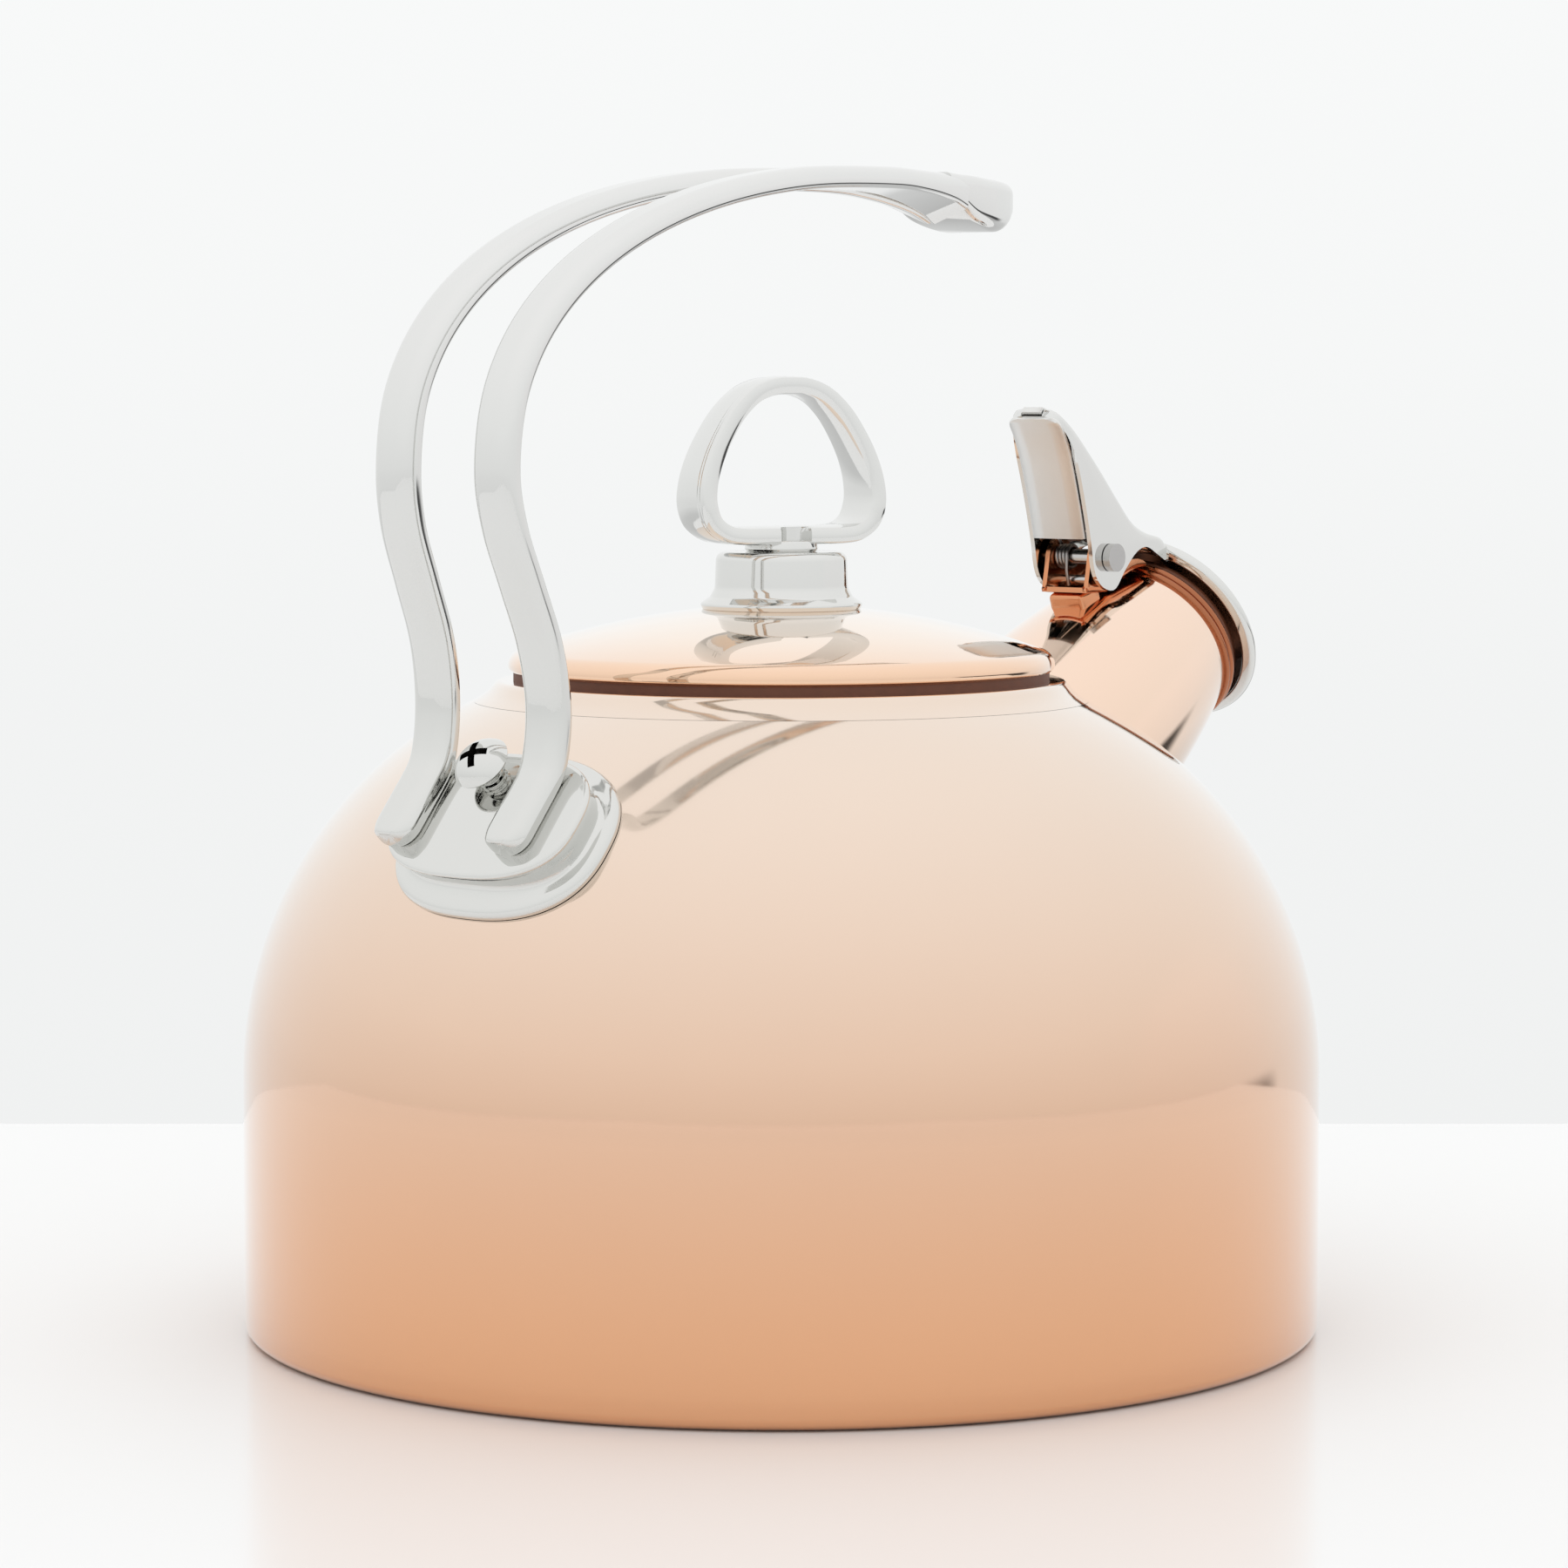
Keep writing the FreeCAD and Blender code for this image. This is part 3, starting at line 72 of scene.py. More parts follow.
# ------------------------------------------------------------------ ways of making a piece
def arc(cx, cy, radius, start, end, count):
    """Points on an arc, angles in degrees."""
    out = []
    for index in range(count + 1):
        angle = math.radians(start + (end - start) * index / count)
        out.append((cx + radius * math.cos(angle), cy + radius * math.sin(angle)))
    return out


def rounded(corners, count=5, closed=True):
    """A polyline with corners (x, y, radius) turned into arcs."""
    out = []
    total = len(corners)
    for index, corner in enumerate(corners):
        here = Vector(corner[:2])
        radius = corner[2] if len(corner) > 2 else 0.0
        is_end = not closed and index in (0, total - 1)
        if radius <= 0 or is_end:
            out.append(tuple(here))
            continue
        before = (Vector(corners[index - 1][:2]) - here).normalized()
        after = (Vector(corners[(index + 1) % total][:2]) - here).normalized()
        half = before.angle(after) / 2
        reach = radius / math.tan(half)
        centre = here + (before + after).normalized() * (radius / math.sin(half))
        first = here + before * reach - centre
        last = here + after * reach - centre
        sweep = first.angle_signed(last)
        for step in range(count + 1):
            turn = -sweep * step / count
            point = Vector((first.x * math.cos(turn) - first.y * math.sin(turn),
                            first.x * math.sin(turn) + first.y * math.cos(turn)))
            out.append(tuple(centre + point))
    return out


def finish_piece(name, bm, material, body, replaces=(), sharp=32.0):
    bmesh.ops.remove_doubles(bm, verts=bm.verts, dist=2e-6)
    bmesh.ops.recalc_face_normals(bm, faces=bm.faces)
    mesh = bpy.data.meshes.new(name)
    bm.to_mesh(mesh)
    bm.free()
    mesh.shade_smooth()
    mesh.set_sharp_from_angle(angle=math.radians(sharp))
    obj = bpy.data.objects.new(name, mesh)
    bpy.context.scene.collection.objects.link(obj)
    mesh.materials.append(material)
    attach(obj, body)
    if replaces:
        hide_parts(*replaces)
    return obj


def outline_edges(bm, points, closed=True):
    verts = [bm.verts.new(Vector(point) * MM) for point in points]
    edges = [bm.edges.new((verts[i], verts[i + 1])) for i in range(len(verts) - 1)]
    if closed:
        edges.append(bm.edges.new((verts[-1], verts[0])))
    return verts, edges


def spin_outline(bm, outline, steps=192, closed=True, frame_at=None):
    """Turns an outline of (radius, height) about Z, then puts it in a frame."""
    before = set(bm.verts)
    verts, edges = outline_edges(bm, [(r, 0.0, z) for r, z in outline], closed)
    bmesh.ops.spin(bm, geom=verts + edges, cent=(0, 0, 0), axis=(0, 0, 1), dvec=(0, 0, 0),
                   angle=2 * math.pi, steps=steps, use_merge=True, use_duplicate=False)
    fresh = [v for v in bm.verts if v not in before]
    if frame_at is not None:
        place = Matrix.Scale(MM, 4) @ frame_at @ Matrix.Scale(1 / MM, 4)
        bmesh.ops.transform(bm, matrix=place, verts=fresh)
    return fresh


def extrude_rings(bm, rings, closed=True, ends=True):
    """Carries the first ring through all the others."""
    verts, edges = outline_edges(bm, rings[0], closed)
    if ends and closed:
        bmesh.ops.edgeloop_fill(bm, edges=edges)
    for ring in rings[1:]:
        made = bmesh.ops.extrude_edge_only(bm, edges=edges)["geom"]
        fresh = [item for item in made if isinstance(item, bmesh.types.BMVert)]
        inside = set(fresh)
        follow = {}
        for vert in fresh:
            for edge in vert.link_edges:
                other = edge.other_vert(vert)
                if other not in inside:
                    follow[other] = vert
        verts = [follow[vert] for vert in verts]
        for vert, point in zip(verts, ring):
            vert.co = Vector(point) * MM
        edges = [item for item in made if isinstance(item, bmesh.types.BMEdge)
                 and item.verts[0] in inside and item.verts[1] in inside]
    if ends and closed:
        bmesh.ops.edgeloop_fill(bm, edges=edges)


def turned(name, outline, material, body, replaces=(), frame_at=None, steps=192, sharp=32.0):
    bm = bmesh.new()
    spin_outline(bm, outline, steps, True, frame_at)
    return finish_piece(name, bm, material, body, replaces, sharp)


def smooth_line(points, count):
    """Even points along a smooth curve through the given ones."""
    out = []
    last = len(points) - 1
    for index in range(last):
        p0 = Vector(points[max(index - 1, 0)])
        p1 = Vector(points[index])
        p2 = Vector(points[index + 1])
        p3 = Vector(points[min(index + 2, last)])
        for step in range(count):
            t = step / count
            out.append(0.5 * ((2 * p1) + (p2 - p0) * t + (2 * p0 - 5 * p1 + 4 * p2 - p3) * t * t
                              + (3 * p1 - p0 - 3 * p2 + p3) * t ** 3))
    out.append(Vector(points[last]))
    return out


# ------------------------------------------------------------------ materials
def new_material(name):
    material = bpy.data.materials.new(name)
    material.use_nodes = True
    nodes = material.node_tree.nodes
    return material, nodes, material.node_tree.links, nodes["Principled BSDF"]


def noise_at(nodes, links, scale, detail=3.0, stretch=None):
    coord = nodes.new("ShaderNodeTexCoord")
    noise = nodes.new("ShaderNodeTexNoise")
    noise.inputs["Scale"].default_value = scale
    noise.inputs["Detail"].default_value = detail
    if stretch:
        mapping = nodes.new("ShaderNodeMapping")
        mapping.inputs["Scale"].default_value = stretch
        links.new(coord.outputs["Object"], mapping.inputs["Vector"])
        links.new(mapping.outputs["Vector"], noise.inputs["Vector"])
    else:
        links.new(coord.outputs["Object"], noise.inputs["Vector"])
    return noise


def span(nodes, links, source, low, high):
    node = nodes.new("ShaderNodeMapRange")
    node.inputs["To Min"].default_value = low
    node.inputs["To Max"].default_value = high
    links.new(source, node.inputs["Value"])
    return node.outputs["Result"]


def add_bump(nodes, links, shader, height, strength, distance):
    bump = nodes.new("ShaderNodeBump")
    bump.inputs["Strength"].default_value = strength
    bump.inputs["Distance"].default_value = distance
    links.new(height, bump.inputs["Height"])
    links.new(bump.outputs["Normal"], shader.inputs["Normal"])


def polished(name, low, high=None, low_z=0.0, high_z=0.115, rough=(0.03, 0.07), coat=0.0, wave=0.02):
    """Bright plated metal. The colour runs from low to high up the object, a painted highlight that lightens the upper
    part, with faint polishing marks.
    """
    material, nodes, links, shader = new_material(name)
    shader.inputs["Metallic"].default_value = 1.0
    tone = noise_at(nodes, links, 38.0, 4.0)
    # Painted highlight: the base colour lightens with height, standing in for the brighter overhead reflection on the
    # upper part.
    mix = nodes.new("ShaderNodeMix")
    mix.data_type = "RGBA"
    mix.inputs[6].default_value = (*low, 1)
    mix.inputs[7].default_value = (*(high or low), 1)
    coord = nodes.new("ShaderNodeTexCoord")
    parts = nodes.new("ShaderNodeSeparateXYZ")
    links.new(coord.outputs["Object"], parts.inputs["Vector"])
    climb = nodes.new("ShaderNodeMapRange")
    climb.interpolation_type = "SMOOTHSTEP"
    climb.inputs["From Min"].default_value = low_z
    climb.inputs["From Max"].default_value = high_z
    links.new(parts.outputs["Z"], climb.inputs["Value"])
    links.new(climb.outputs["Result"], mix.inputs[0])
    tint = nodes.new("ShaderNodeMix")
    tint.data_type = "RGBA"
    tint.blend_type = "MULTIPLY"
    tint.inputs[0].default_value = 1.0
    links.new(mix.outputs[2], tint.inputs[6])
    shade = nodes.new("ShaderNodeCombineColor")
    level = span(nodes, links, tone.outputs["Fac"], 0.975, 1.0)
    for channel in ("Red", "Green", "Blue"):
        links.new(level, shade.inputs[channel])
    links.new(shade.outputs["Color"], tint.inputs[7])
    links.new(tint.outputs[2], shader.inputs["Base Color"])
    smear = noise_at(nodes, links, 22.0, 5.0)
    links.new(span(nodes, links, smear.outputs["Fac"], rough[0], rough[1]), shader.inputs["Roughness"])
    shader.inputs["Coat Weight"].default_value = coat
    shader.inputs["Coat Roughness"].default_value = 0.03
    ripple = noise_at(nodes, links, 9.0, 1.5)
    add_bump(nodes, links, shader, ripple.outputs["Fac"], wave, 0.001)
    return material


def brushed(name, colour, around=True, rough=(0.26, 0.42)):
    """Satin steel with fine marks left by turning or rolling."""
    material, nodes, links, shader = new_material(name)
    shader.inputs["Metallic"].default_value = 1.0
    coord = nodes.new("ShaderNodeTexCoord")
    noise = nodes.new("ShaderNodeTexNoise")
    noise.inputs["Detail"].default_value = 6.0
    if around:
        parts = nodes.new("ShaderNodeSeparateXYZ")
        links.new(coord.outputs["Object"], parts.inputs["Vector"])
        flat = nodes.new("ShaderNodeCombineXYZ")
        links.new(parts.outputs["X"], flat.inputs["X"])
        links.new(parts.outputs["Y"], flat.inputs["Y"])
        length = nodes.new("ShaderNodeVectorMath")
        length.operation = "LENGTH"
        links.new(flat.outputs["Vector"], length.inputs[0])
        again = nodes.new("ShaderNodeCombineXYZ")
        links.new(length.outputs["Value"], again.inputs["X"])
        links.new(parts.outputs["Z"], again.inputs["Z"])
        links.new(again.outputs["Vector"], noise.inputs["Vector"])
        noise.inputs["Scale"].default_value = 900.0
    else:
        links.new(coord.outputs["Object"], noise.inputs["Vector"])
        noise.inputs["Scale"].default_value = 260.0
    links.new(span(nodes, links, noise.outputs["Fac"], *rough), shader.inputs["Roughness"])
    ramp = nodes.new("ShaderNodeMix")
    ramp.data_type = "RGBA"
    ramp.inputs[6].default_value = (*[c * 0.88 for c in colour], 1)
    ramp.inputs[7].default_value = (*colour, 1)
    links.new(noise.outputs["Fac"], ramp.inputs[0])
    links.new(ramp.outputs[2], shader.inputs["Base Color"])
    add_bump(nodes, links, shader, noise.outputs["Fac"], 0.12, 0.0002)
    return material


def moulded(name, colour, rough=(0.55, 0.7)):
    """Matt moulded silicone with a faint grain."""
    material, nodes, links, shader = new_material(name)
    noise = noise_at(nodes, links, 420.0, 4.0)
    ramp = nodes.new("ShaderNodeMix")
    ramp.data_type = "RGBA"
    ramp.inputs[6].default_value = (*colour, 1)
    ramp.inputs[7].default_value = (*[min(1.0, c * 1.5 + 0.01) for c in colour], 1)
    links.new(noise.outputs["Fac"], ramp.inputs[0])
    links.new(ramp.outputs[2], shader.inputs["Base Color"])
    links.new(span(nodes, links, noise.outputs["Fac"], *rough), shader.inputs["Roughness"])
    add_bump(nodes, links, shader, noise.outputs["Fac"], 0.15, 0.0002)
    return material


# The body runs from the copper's own deep tone at the foot to a pale painted highlight at the shoulder; the lid, spout
# and chrome ramps below paint the same lightening up their height.
COPPER_DEEP = (0.78, 0.395, 0.20)
COPPER_TOP_PAINTED_HIGHLIGHT = (0.83, 0.69, 0.58)
copper_body = polished("rose_copper_body", COPPER_DEEP, COPPER_TOP_PAINTED_HIGHLIGHT, 0.0, 0.113, (0.06, 0.09), 1.0, 0.006)
copper_lid = polished("rose_copper_lid", (0.90, 0.60, 0.41), (0.95, 0.78, 0.64), 0.116, 0.125, (0.03, 0.05), 1.0, 0.006)
copper_spout = polished("rose_copper_spout", (0.90, 0.67, 0.52), (0.92, 0.70, 0.56), 0.09, 0.13, (0.05, 0.09), 1.0, 0.01)
copper_trim = polished("pale_copper_edge", (0.92, 0.74, 0.60), None, rough=(0.06, 0.1), coat=1.0)
copper_dark = polished("deep_copper_bracket", (0.70, 0.30, 0.15), None, rough=(0.1, 0.2), coat=0.2, wave=0.04)
# The mouth's hoop is copper darkened to a deep brown: painted shade for the dark band between the spout's rim and the
# cap.
painted_shade_hoop = polished("hoop_copper_painted_shade", (0.42, 0.15, 0.07), None, rough=(0.12, 0.2), coat=0.2, wave=0.02)
chrome = polished("bright_chrome", (0.72, 0.72, 0.70), (0.78, 0.78, 0.77), 0.09, 0.2, (0.04, 0.08), 0.0, 0.01)
chrome_soft = polished("soft_chrome", (0.68, 0.675, 0.66), (0.78, 0.775, 0.76), 0.12, 0.165, (0.3, 0.36), 0.0, 0.01)
steel_inside = brushed("satin_steel_inside", (0.60, 0.59, 0.57))
steel_base = brushed("brushed_steel_base", (0.52, 0.515, 0.505))
steel_fixing = brushed("bright_steel_fixings", (0.62, 0.61, 0.60), False, (0.16, 0.28))
aluminium = brushed("plain_aluminium", (0.68, 0.68, 0.69))
spring_wire = brushed("spring_wire", (0.42, 0.41, 0.40), False)
# The whistle's parts are a dark copper-brown: painted shade for the dark band inside the mouth, behind the hoop.
whistle_shade_dark = brushed("whistle_painted_shade_brown", (0.20, 0.075, 0.04), False, (0.3, 0.45))
recess_dark = brushed("shadowed_recess", (0.05, 0.045, 0.04), False, (0.4, 0.6))
silicone = moulded("dark_silicone", (0.035, 0.032, 0.03))
# The lid skirt and the mouth seal are a dark brown: painted shade for the gap under the lid's edge and for the seal's
# place in the dark band at the mouth.
brown_painted_shade = moulded("brown_painted_shade", (0.11, 0.035, 0.016))

CAD_MATERIALS = {
    "inner_pan": steel_inside, "base_cover": steel_base, "heat_spreader": aluminium, "lid_skirt": brown_painted_shade,
    "knob_washer": steel_fixing, "knob_screw": steel_fixing, "pivot_pin": steel_fixing, "spring_rod": steel_fixing,
    "return_spring": spring_wire, "mouth_seal": brown_painted_shade, "whistle_cup": whistle_shade_dark,
    "whistle_inner_plate": whistle_shade_dark, "whistle_outer_plate": whistle_shade_dark, "whistle_clamp_ring": whistle_shade_dark,
    "pedestal_gasket": silicone, "inner_seal_washer": silicone, "inner_clamp_plate": steel_inside,
    "handle_nut": steel_fixing, "handle_screw": steel_fixing, "lever_inner_plate": chrome_soft,
    "hinge_bracket": copper_dark, "cap_lever": chrome, "handle_bar": chrome, "handle_pedestal": chrome,
    "knob_ring": chrome, "knob_collar": chrome, "lid_shell": copper_lid, "lid_seat_ring": copper_trim,
    "spout_tube": copper_spout, "body_shell": copper_body,
}
for node, material in CAD_MATERIALS.items():
    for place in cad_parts[node].material_slots:
        place.material = material


# ------------------------------------------------------------------ body, seat and lid
def shoulder(radius, offset=0.0):
    return STRAIGHT + math.sqrt((SHOULDER_R + offset) ** 2 - (radius - SHOULDER_X) ** 2)


def shoulder_arc(offset, first_r, last_r, count):
    """Points on the shoulder, moved outwards by offset, between two radii."""
    big = SHOULDER_R + offset
    start = math.degrees(math.acos((first_r - SHOULDER_X) / big))
    end = math.degrees(math.acos((last_r - SHOULDER_X) / big))
    return arc(SHOULDER_X, STRAIGHT, big, start, end, count)


def build_body():
    wall = 1.0
    outline = [(91.0, 0.0), (93.0, 0.0)]
    outline += arc(93.0, 2.0, 2.0, -80, 0, 6)
    outline += [(95.0, 2.0 + 43.0 * i / 12) for i in range(1, 12)]
    outline += shoulder_arc(0.0, BODY_R, OPENING_R, 64)
    outline += shoulder_arc(-wall, OPENING_R, BODY_R - wall, 48)
    outline += [(94.0, 43.0 - 41.0 * i / 6) for i in range(0, 7)]
    outline += arc(93.0, 2.0, 1.0, -10, -90, 4)
    outline += [(91.0, 1.0)]
    bm = bmesh.new()
    spin_outline(bm, outline, 256)
    bmesh.ops.remove_doubles(bm, verts=bm.verts, dist=2e-6)
    hole = []
    for face in bm.faces:
        away = face.calc_center_median() / MM - MOUTH
        along = away.dot(SPOUT_OUT)
        off = (away - SPOUT_OUT * along).length
        if off < 17.4 and -60 < along < 0:
            hole.append(face)
    bmesh.ops.delete(bm, geom=hole, context="FACES")
    for edge in bm.edges:
        if edge.is_boundary:
            for vert in edge.verts:
                away = vert.co / MM - MOUTH
                along = away.dot(SPOUT_OUT)
                side = away - SPOUT_OUT * along
                vert.co = (MOUTH + SPOUT_OUT * along + side.normalized() * 17.2) * MM
    return finish_piece("polished_body", bm, copper_body, ROOT, ["body_shell"], 40)


def build_seat():
    outline = [(54.2, shoulder(54.2) + 0.03), (52.6, shoulder(52.6) + 0.22), (51.5, shoulder(51.5) + 0.6)]
    outline += [(50.8, SEAT_TOP - 0.9), (50.35, SEAT_TOP - 0.35), (49.9, SEAT_TOP - 0.06), (49.4, SEAT_TOP)]
    outline += [(46.6, SEAT_TOP)]
    outline += arc(46.3, SEAT_TOP - 0.8, 0.8, 100, 180, 6)
    outline += [(45.5, SEAT_TOP - 3), (45.5, SEAT_TOP - 9.0), (46.4, SEAT_TOP - 9.0), (46.4, OPENING_Z - 0.2)]
    outline += [(48.0, OPENING_Z), (51.0, shoulder(51.0) - 0.1)]
    turned("lid_seat", outline, copper_body, ROOT, ["lid_seat_ring"], steps=256)


def build_lid():
    rim = LID_R - 2.6
    crown = (rim ** 2 + 7.6 ** 2) / (2 * 7.6)
    top = []
    for index in range(41):
        radius = rim * index / 40 * 0.985
        top.append((max(radius, 0.0), LID_TOP - crown + math.sqrt(crown ** 2 - radius ** 2)))
    outline = [(2.2, LID_TOP - 0.01)] + [p for p in top if p[0] > 2.2]
    outline += rounded([top[-1], (rim + 1.6, LID_SHOULDER - 0.55, 3.0), (LID_R, LID_BOTTOM + 1.3, 2.2),
                        (LID_R - 0.1, LID_BOTTOM + 0.2, 0.5), (LID_R - 0.9, LID_BOTTOM - 0.45, 0.5),
                        (LID_R - 1.5, LID_BOTTOM - 0.3, 0.2), (LID_R - 1.5, LID_BOTTOM + 1.6)], 8, False)[1:]
    under = [(r, z - 0.9) for r, z in reversed(top) if 2.2 < r < rim - 1.5]
    outline += under + [(2.2, LID_TOP - 0.9)]
    turned("domed_lid", outline, copper_lid, LID, ["lid_shell"], steps=256)


def build_knob():
    z = LID_TOP
    outline = rounded([(10.3, z - 0.5), (13.9, z - 0.72, 0.3), (14.35, z + 0.3, 0.5), (12.6, z + 1.5, 1.2),
                       (11.75, z + 3.0, 2.2), (11.5, KNOB_TOP, 1.5), (2.2, KNOB_TOP), (2.2, KNOB_TOP - 1.2),
                       (10.3, KNOB_TOP - 1.2)], 7)
    turned("knob_base", outline, chrome, LID, ["knob_collar"], steps=128)
    build_ring()


def ring_line(inset):
    """The ring's rounded triangle, as points (across, up) on a smooth closed line."""
    corners = [(0.0, 0.0), (5.0, 0.0), (10.0, 0.05), (13.6, 0.7), (16.7, 3.0), (18.1, 6.8), (17.9, 11.0), (16.6, 15.4),
               (14.4, 19.8), (11.5, 24.0), (7.8, 27.3), (3.8, 28.9), (0.0, 29.2)]
    right = [Vector(corner) for corner in corners]
    left = [Vector((-point.x, point.y)) for point in reversed(right[1:-1])]
    loop = right + left
    total = len(loop)
    line = []
    for index in range(total):
        p0, p1, p2, p3 = (loop[(index + k) % total] for k in (-1, 0, 1, 2))
        for step in range(5):
            t = step / 5
            line.append(0.5 * ((2 * p1) + (p2 - p0) * t + (2 * p0 - 5 * p1 + 4 * p2 - p3) * t * t
                               + (3 * p1 - p0 - 3 * p2 + p3) * t ** 3))
    out = []
    for index, point in enumerate(line):
        tangent = (line[(index + 1) % len(line)] - line[index - 1]).normalized()
        inward = Vector((-tangent.y, tangent.x))
        moved = point + inward * inset
        out.append((moved.x, RING_BOTTOM + moved.y))
    return out


def build_ring():
    """The band swept round the ring's outline: two fine grooves near the front, a notch in the base."""
    depth = 5.75
    band = 3.0
    section = [(-depth, 0.55), (-depth + 0.15, 0.15), (-depth + 0.6, 0.0), (-depth + 1.5, 0.0), (-depth + 1.65, 0.16),
               (-depth + 1.8, 0.0), (-depth + 2.5, 0.0), (-depth + 2.65, 0.16), (-depth + 2.8, 0.0), (0.0, -0.12),
               (depth - 1.2, 0.0), (depth - 0.35, 0.2), (depth, 0.9), (depth, band - 0.9), (depth - 0.35, band - 0.2),
               (depth - 1.2, band), (0.0, band + 0.1), (-depth + 1.2, band), (-depth + 0.35, band - 0.2),
               (-depth, band - 0.9)]
    turn = Matrix.Rotation(math.radians(-23.0), 4, "Z")
    outer = ring_line(0.0)
    inner = ring_line(band)
    bm = bmesh.new()
    rings = []
    for index in range(len(outer)):
        a = Vector((outer[index][0], 0, outer[index][1]))
        b = Vector((inner[index][0], 0, inner[index][1]))
        inward = (b - a) / band
        taper = 1.0 - 0.24 * min(1.0, max(0.0, (a.z - RING_BOTTOM - 6.0) / 23.0))
        rings.append([turn @ (a + inward * inset + Vector((0, along * taper, 0))) for along, inset in section])
    rings.append(rings[0])
    extrude_rings(bm, rings, True, False)
    bmesh.ops.remove_doubles(bm, verts=bm.verts, dist=2e-6)
    notch = 2.9
    for vert in bm.verts:
        local = turn.inverted() @ (vert.co / MM)
        if local.z < RING_BOTTOM + band + 0.5 and abs(local.x) < notch:
            reach = math.sqrt(notch ** 2 - local.x ** 2)
            if local.y < -depth + reach:
                local.y = -depth + reach
                vert.co = (turn @ local) * MM
    pad = rounded([(0.0, KNOB_TOP), (6.1, KNOB_TOP), (6.5, KNOB_TOP + 0.5, 0.3), (6.2, RING_BOTTOM + 0.6, 0.4),
                   (0.0, RING_BOTTOM + 0.8)], 3)
    spin_outline(bm, pad, 48)
    finish_piece("knob_loop", bm, chrome, LID, ["knob_ring"], 38)


# ------------------------------------------------------------------ spout
def spout_r(back):
    """Outer radius of the tube at a distance behind the mouth."""
    chord = math.hypot(5.2, 48.0)
    flare = 185.0
    mid = Vector(((17.1 + 22.3) / 2, -24.0))
    side = Vector((48.0, 5.2)).normalized()
    centre = mid - side * math.sqrt(flare ** 2 - (chord / 2) ** 2)
    return centre.x + math.sqrt(flare ** 2 - (-back - centre.y) ** 2)


def spout_point(back, radius, angle):
    """A point on the tube: angle 0 is its top."""
    side = SPOUT_UP * math.cos(angle) + Vector((0, 1, 0)) * math.sin(angle)
    return MOUTH - SPOUT_OUT * back + side * radius


def above_body(point, offset):
    radius = math.hypot(point.x, point.y)
    return math.hypot(radius - SHOULDER_X, point.z - STRAIGHT) > SHOULDER_R + offset


def tube_start(angle, inset, offset):
    """How far behind the mouth the tube meets the body, at an angle round the tube."""
    near, far = 0.0, 60.0
    for _ in range(40):
        middle = (near + far) / 2
        if above_body(spout_point(middle, spout_r(min(middle, 48.0)) - inset, angle), offset):
            near = middle
        else:
            far = middle
    return near


def build_spout():
    steps = 28
    around = 160
    rings = []
    outer_line = []
    for step in range(steps + 1):
        outer_line.append((1 - step / steps, 0.0))
    for share, _ in outer_line:
        ring = []
        for k in range(around):
            angle = 2 * math.pi * k / around
            back = tube_start(angle, 0.0, -0.6) * share
            ring.append(spout_point(back, spout_r(min(back, 48.0)), angle))
        rings.append(ring)
    for back, grow in ((-0.1, 0.0), (-0.1, -1.0)):
        rings.append([spout_point(back, 17.1 + grow, 2 * math.pi * k / around) for k in range(around)])
    for share in [step / 12 for step in range(0, 13)]:
        ring = []
        for k in range(around):
            angle = 2 * math.pi * k / around
            back = tube_start(angle, 0.0, -0.6) * share
            ring.append(spout_point(back, spout_r(min(back, 48.0)) - 1.0, angle))
        rings.append(ring)
    rings.append(rings[0])
    bm = bmesh.new()
    extrude_rings(bm, rings, True, False)
    finish_piece("flared_spout", bm, copper_spout, ROOT, ["spout_tube"], 50)
    # The hoop's deep brown copper is painted shade for the dark band at the mouth.
    hoop = [(16.1, 0.05), (17.05, 0.05)]
    hoop += arc(17.1, 0.8, 0.75, -80, 80, 8)
    hoop += arc(17.1, 2.3, 0.75, -80, 80, 8)
    hoop += [(16.9, 3.1), (16.1, 3.1)]
    turned("mouth_hoop", hoop, painted_shade_hoop, ROOT, [], SPOUT_FRAME, 160, 50)


# ------------------------------------------------------------------ whistle cap
def build_cap():
    edge = 7.6
    crown_rise = 4.6
    crown = (20.1 ** 2 + crown_rise ** 2) / (2 * crown_rise)
    face = []
    for index in range(25):
        radius = 2.5 + (19.2 - 2.5) * index / 24
        face.append((radius, edge + crown_rise - crown + math.sqrt(crown ** 2 - radius ** 2)))
    outline = [(2.5, face[0][1] - 1.0)] + face
    outline += rounded([face[-1], (20.15, edge + 0.1, 0.9), (19.6, 6.1, 1.2), (18.0, 5.4, 0.4), (17.6, 5.9, 0.3),
                        (18.9, 7.0)], 6, False)[1:]
    outline += [(r, z - 1.0) for r, z in reversed(face) if 3.0 < r < 18.6]
    turned("cap_disc", outline, chrome, CAP, [], SPOUT_FRAME, 160)
    build_lever()


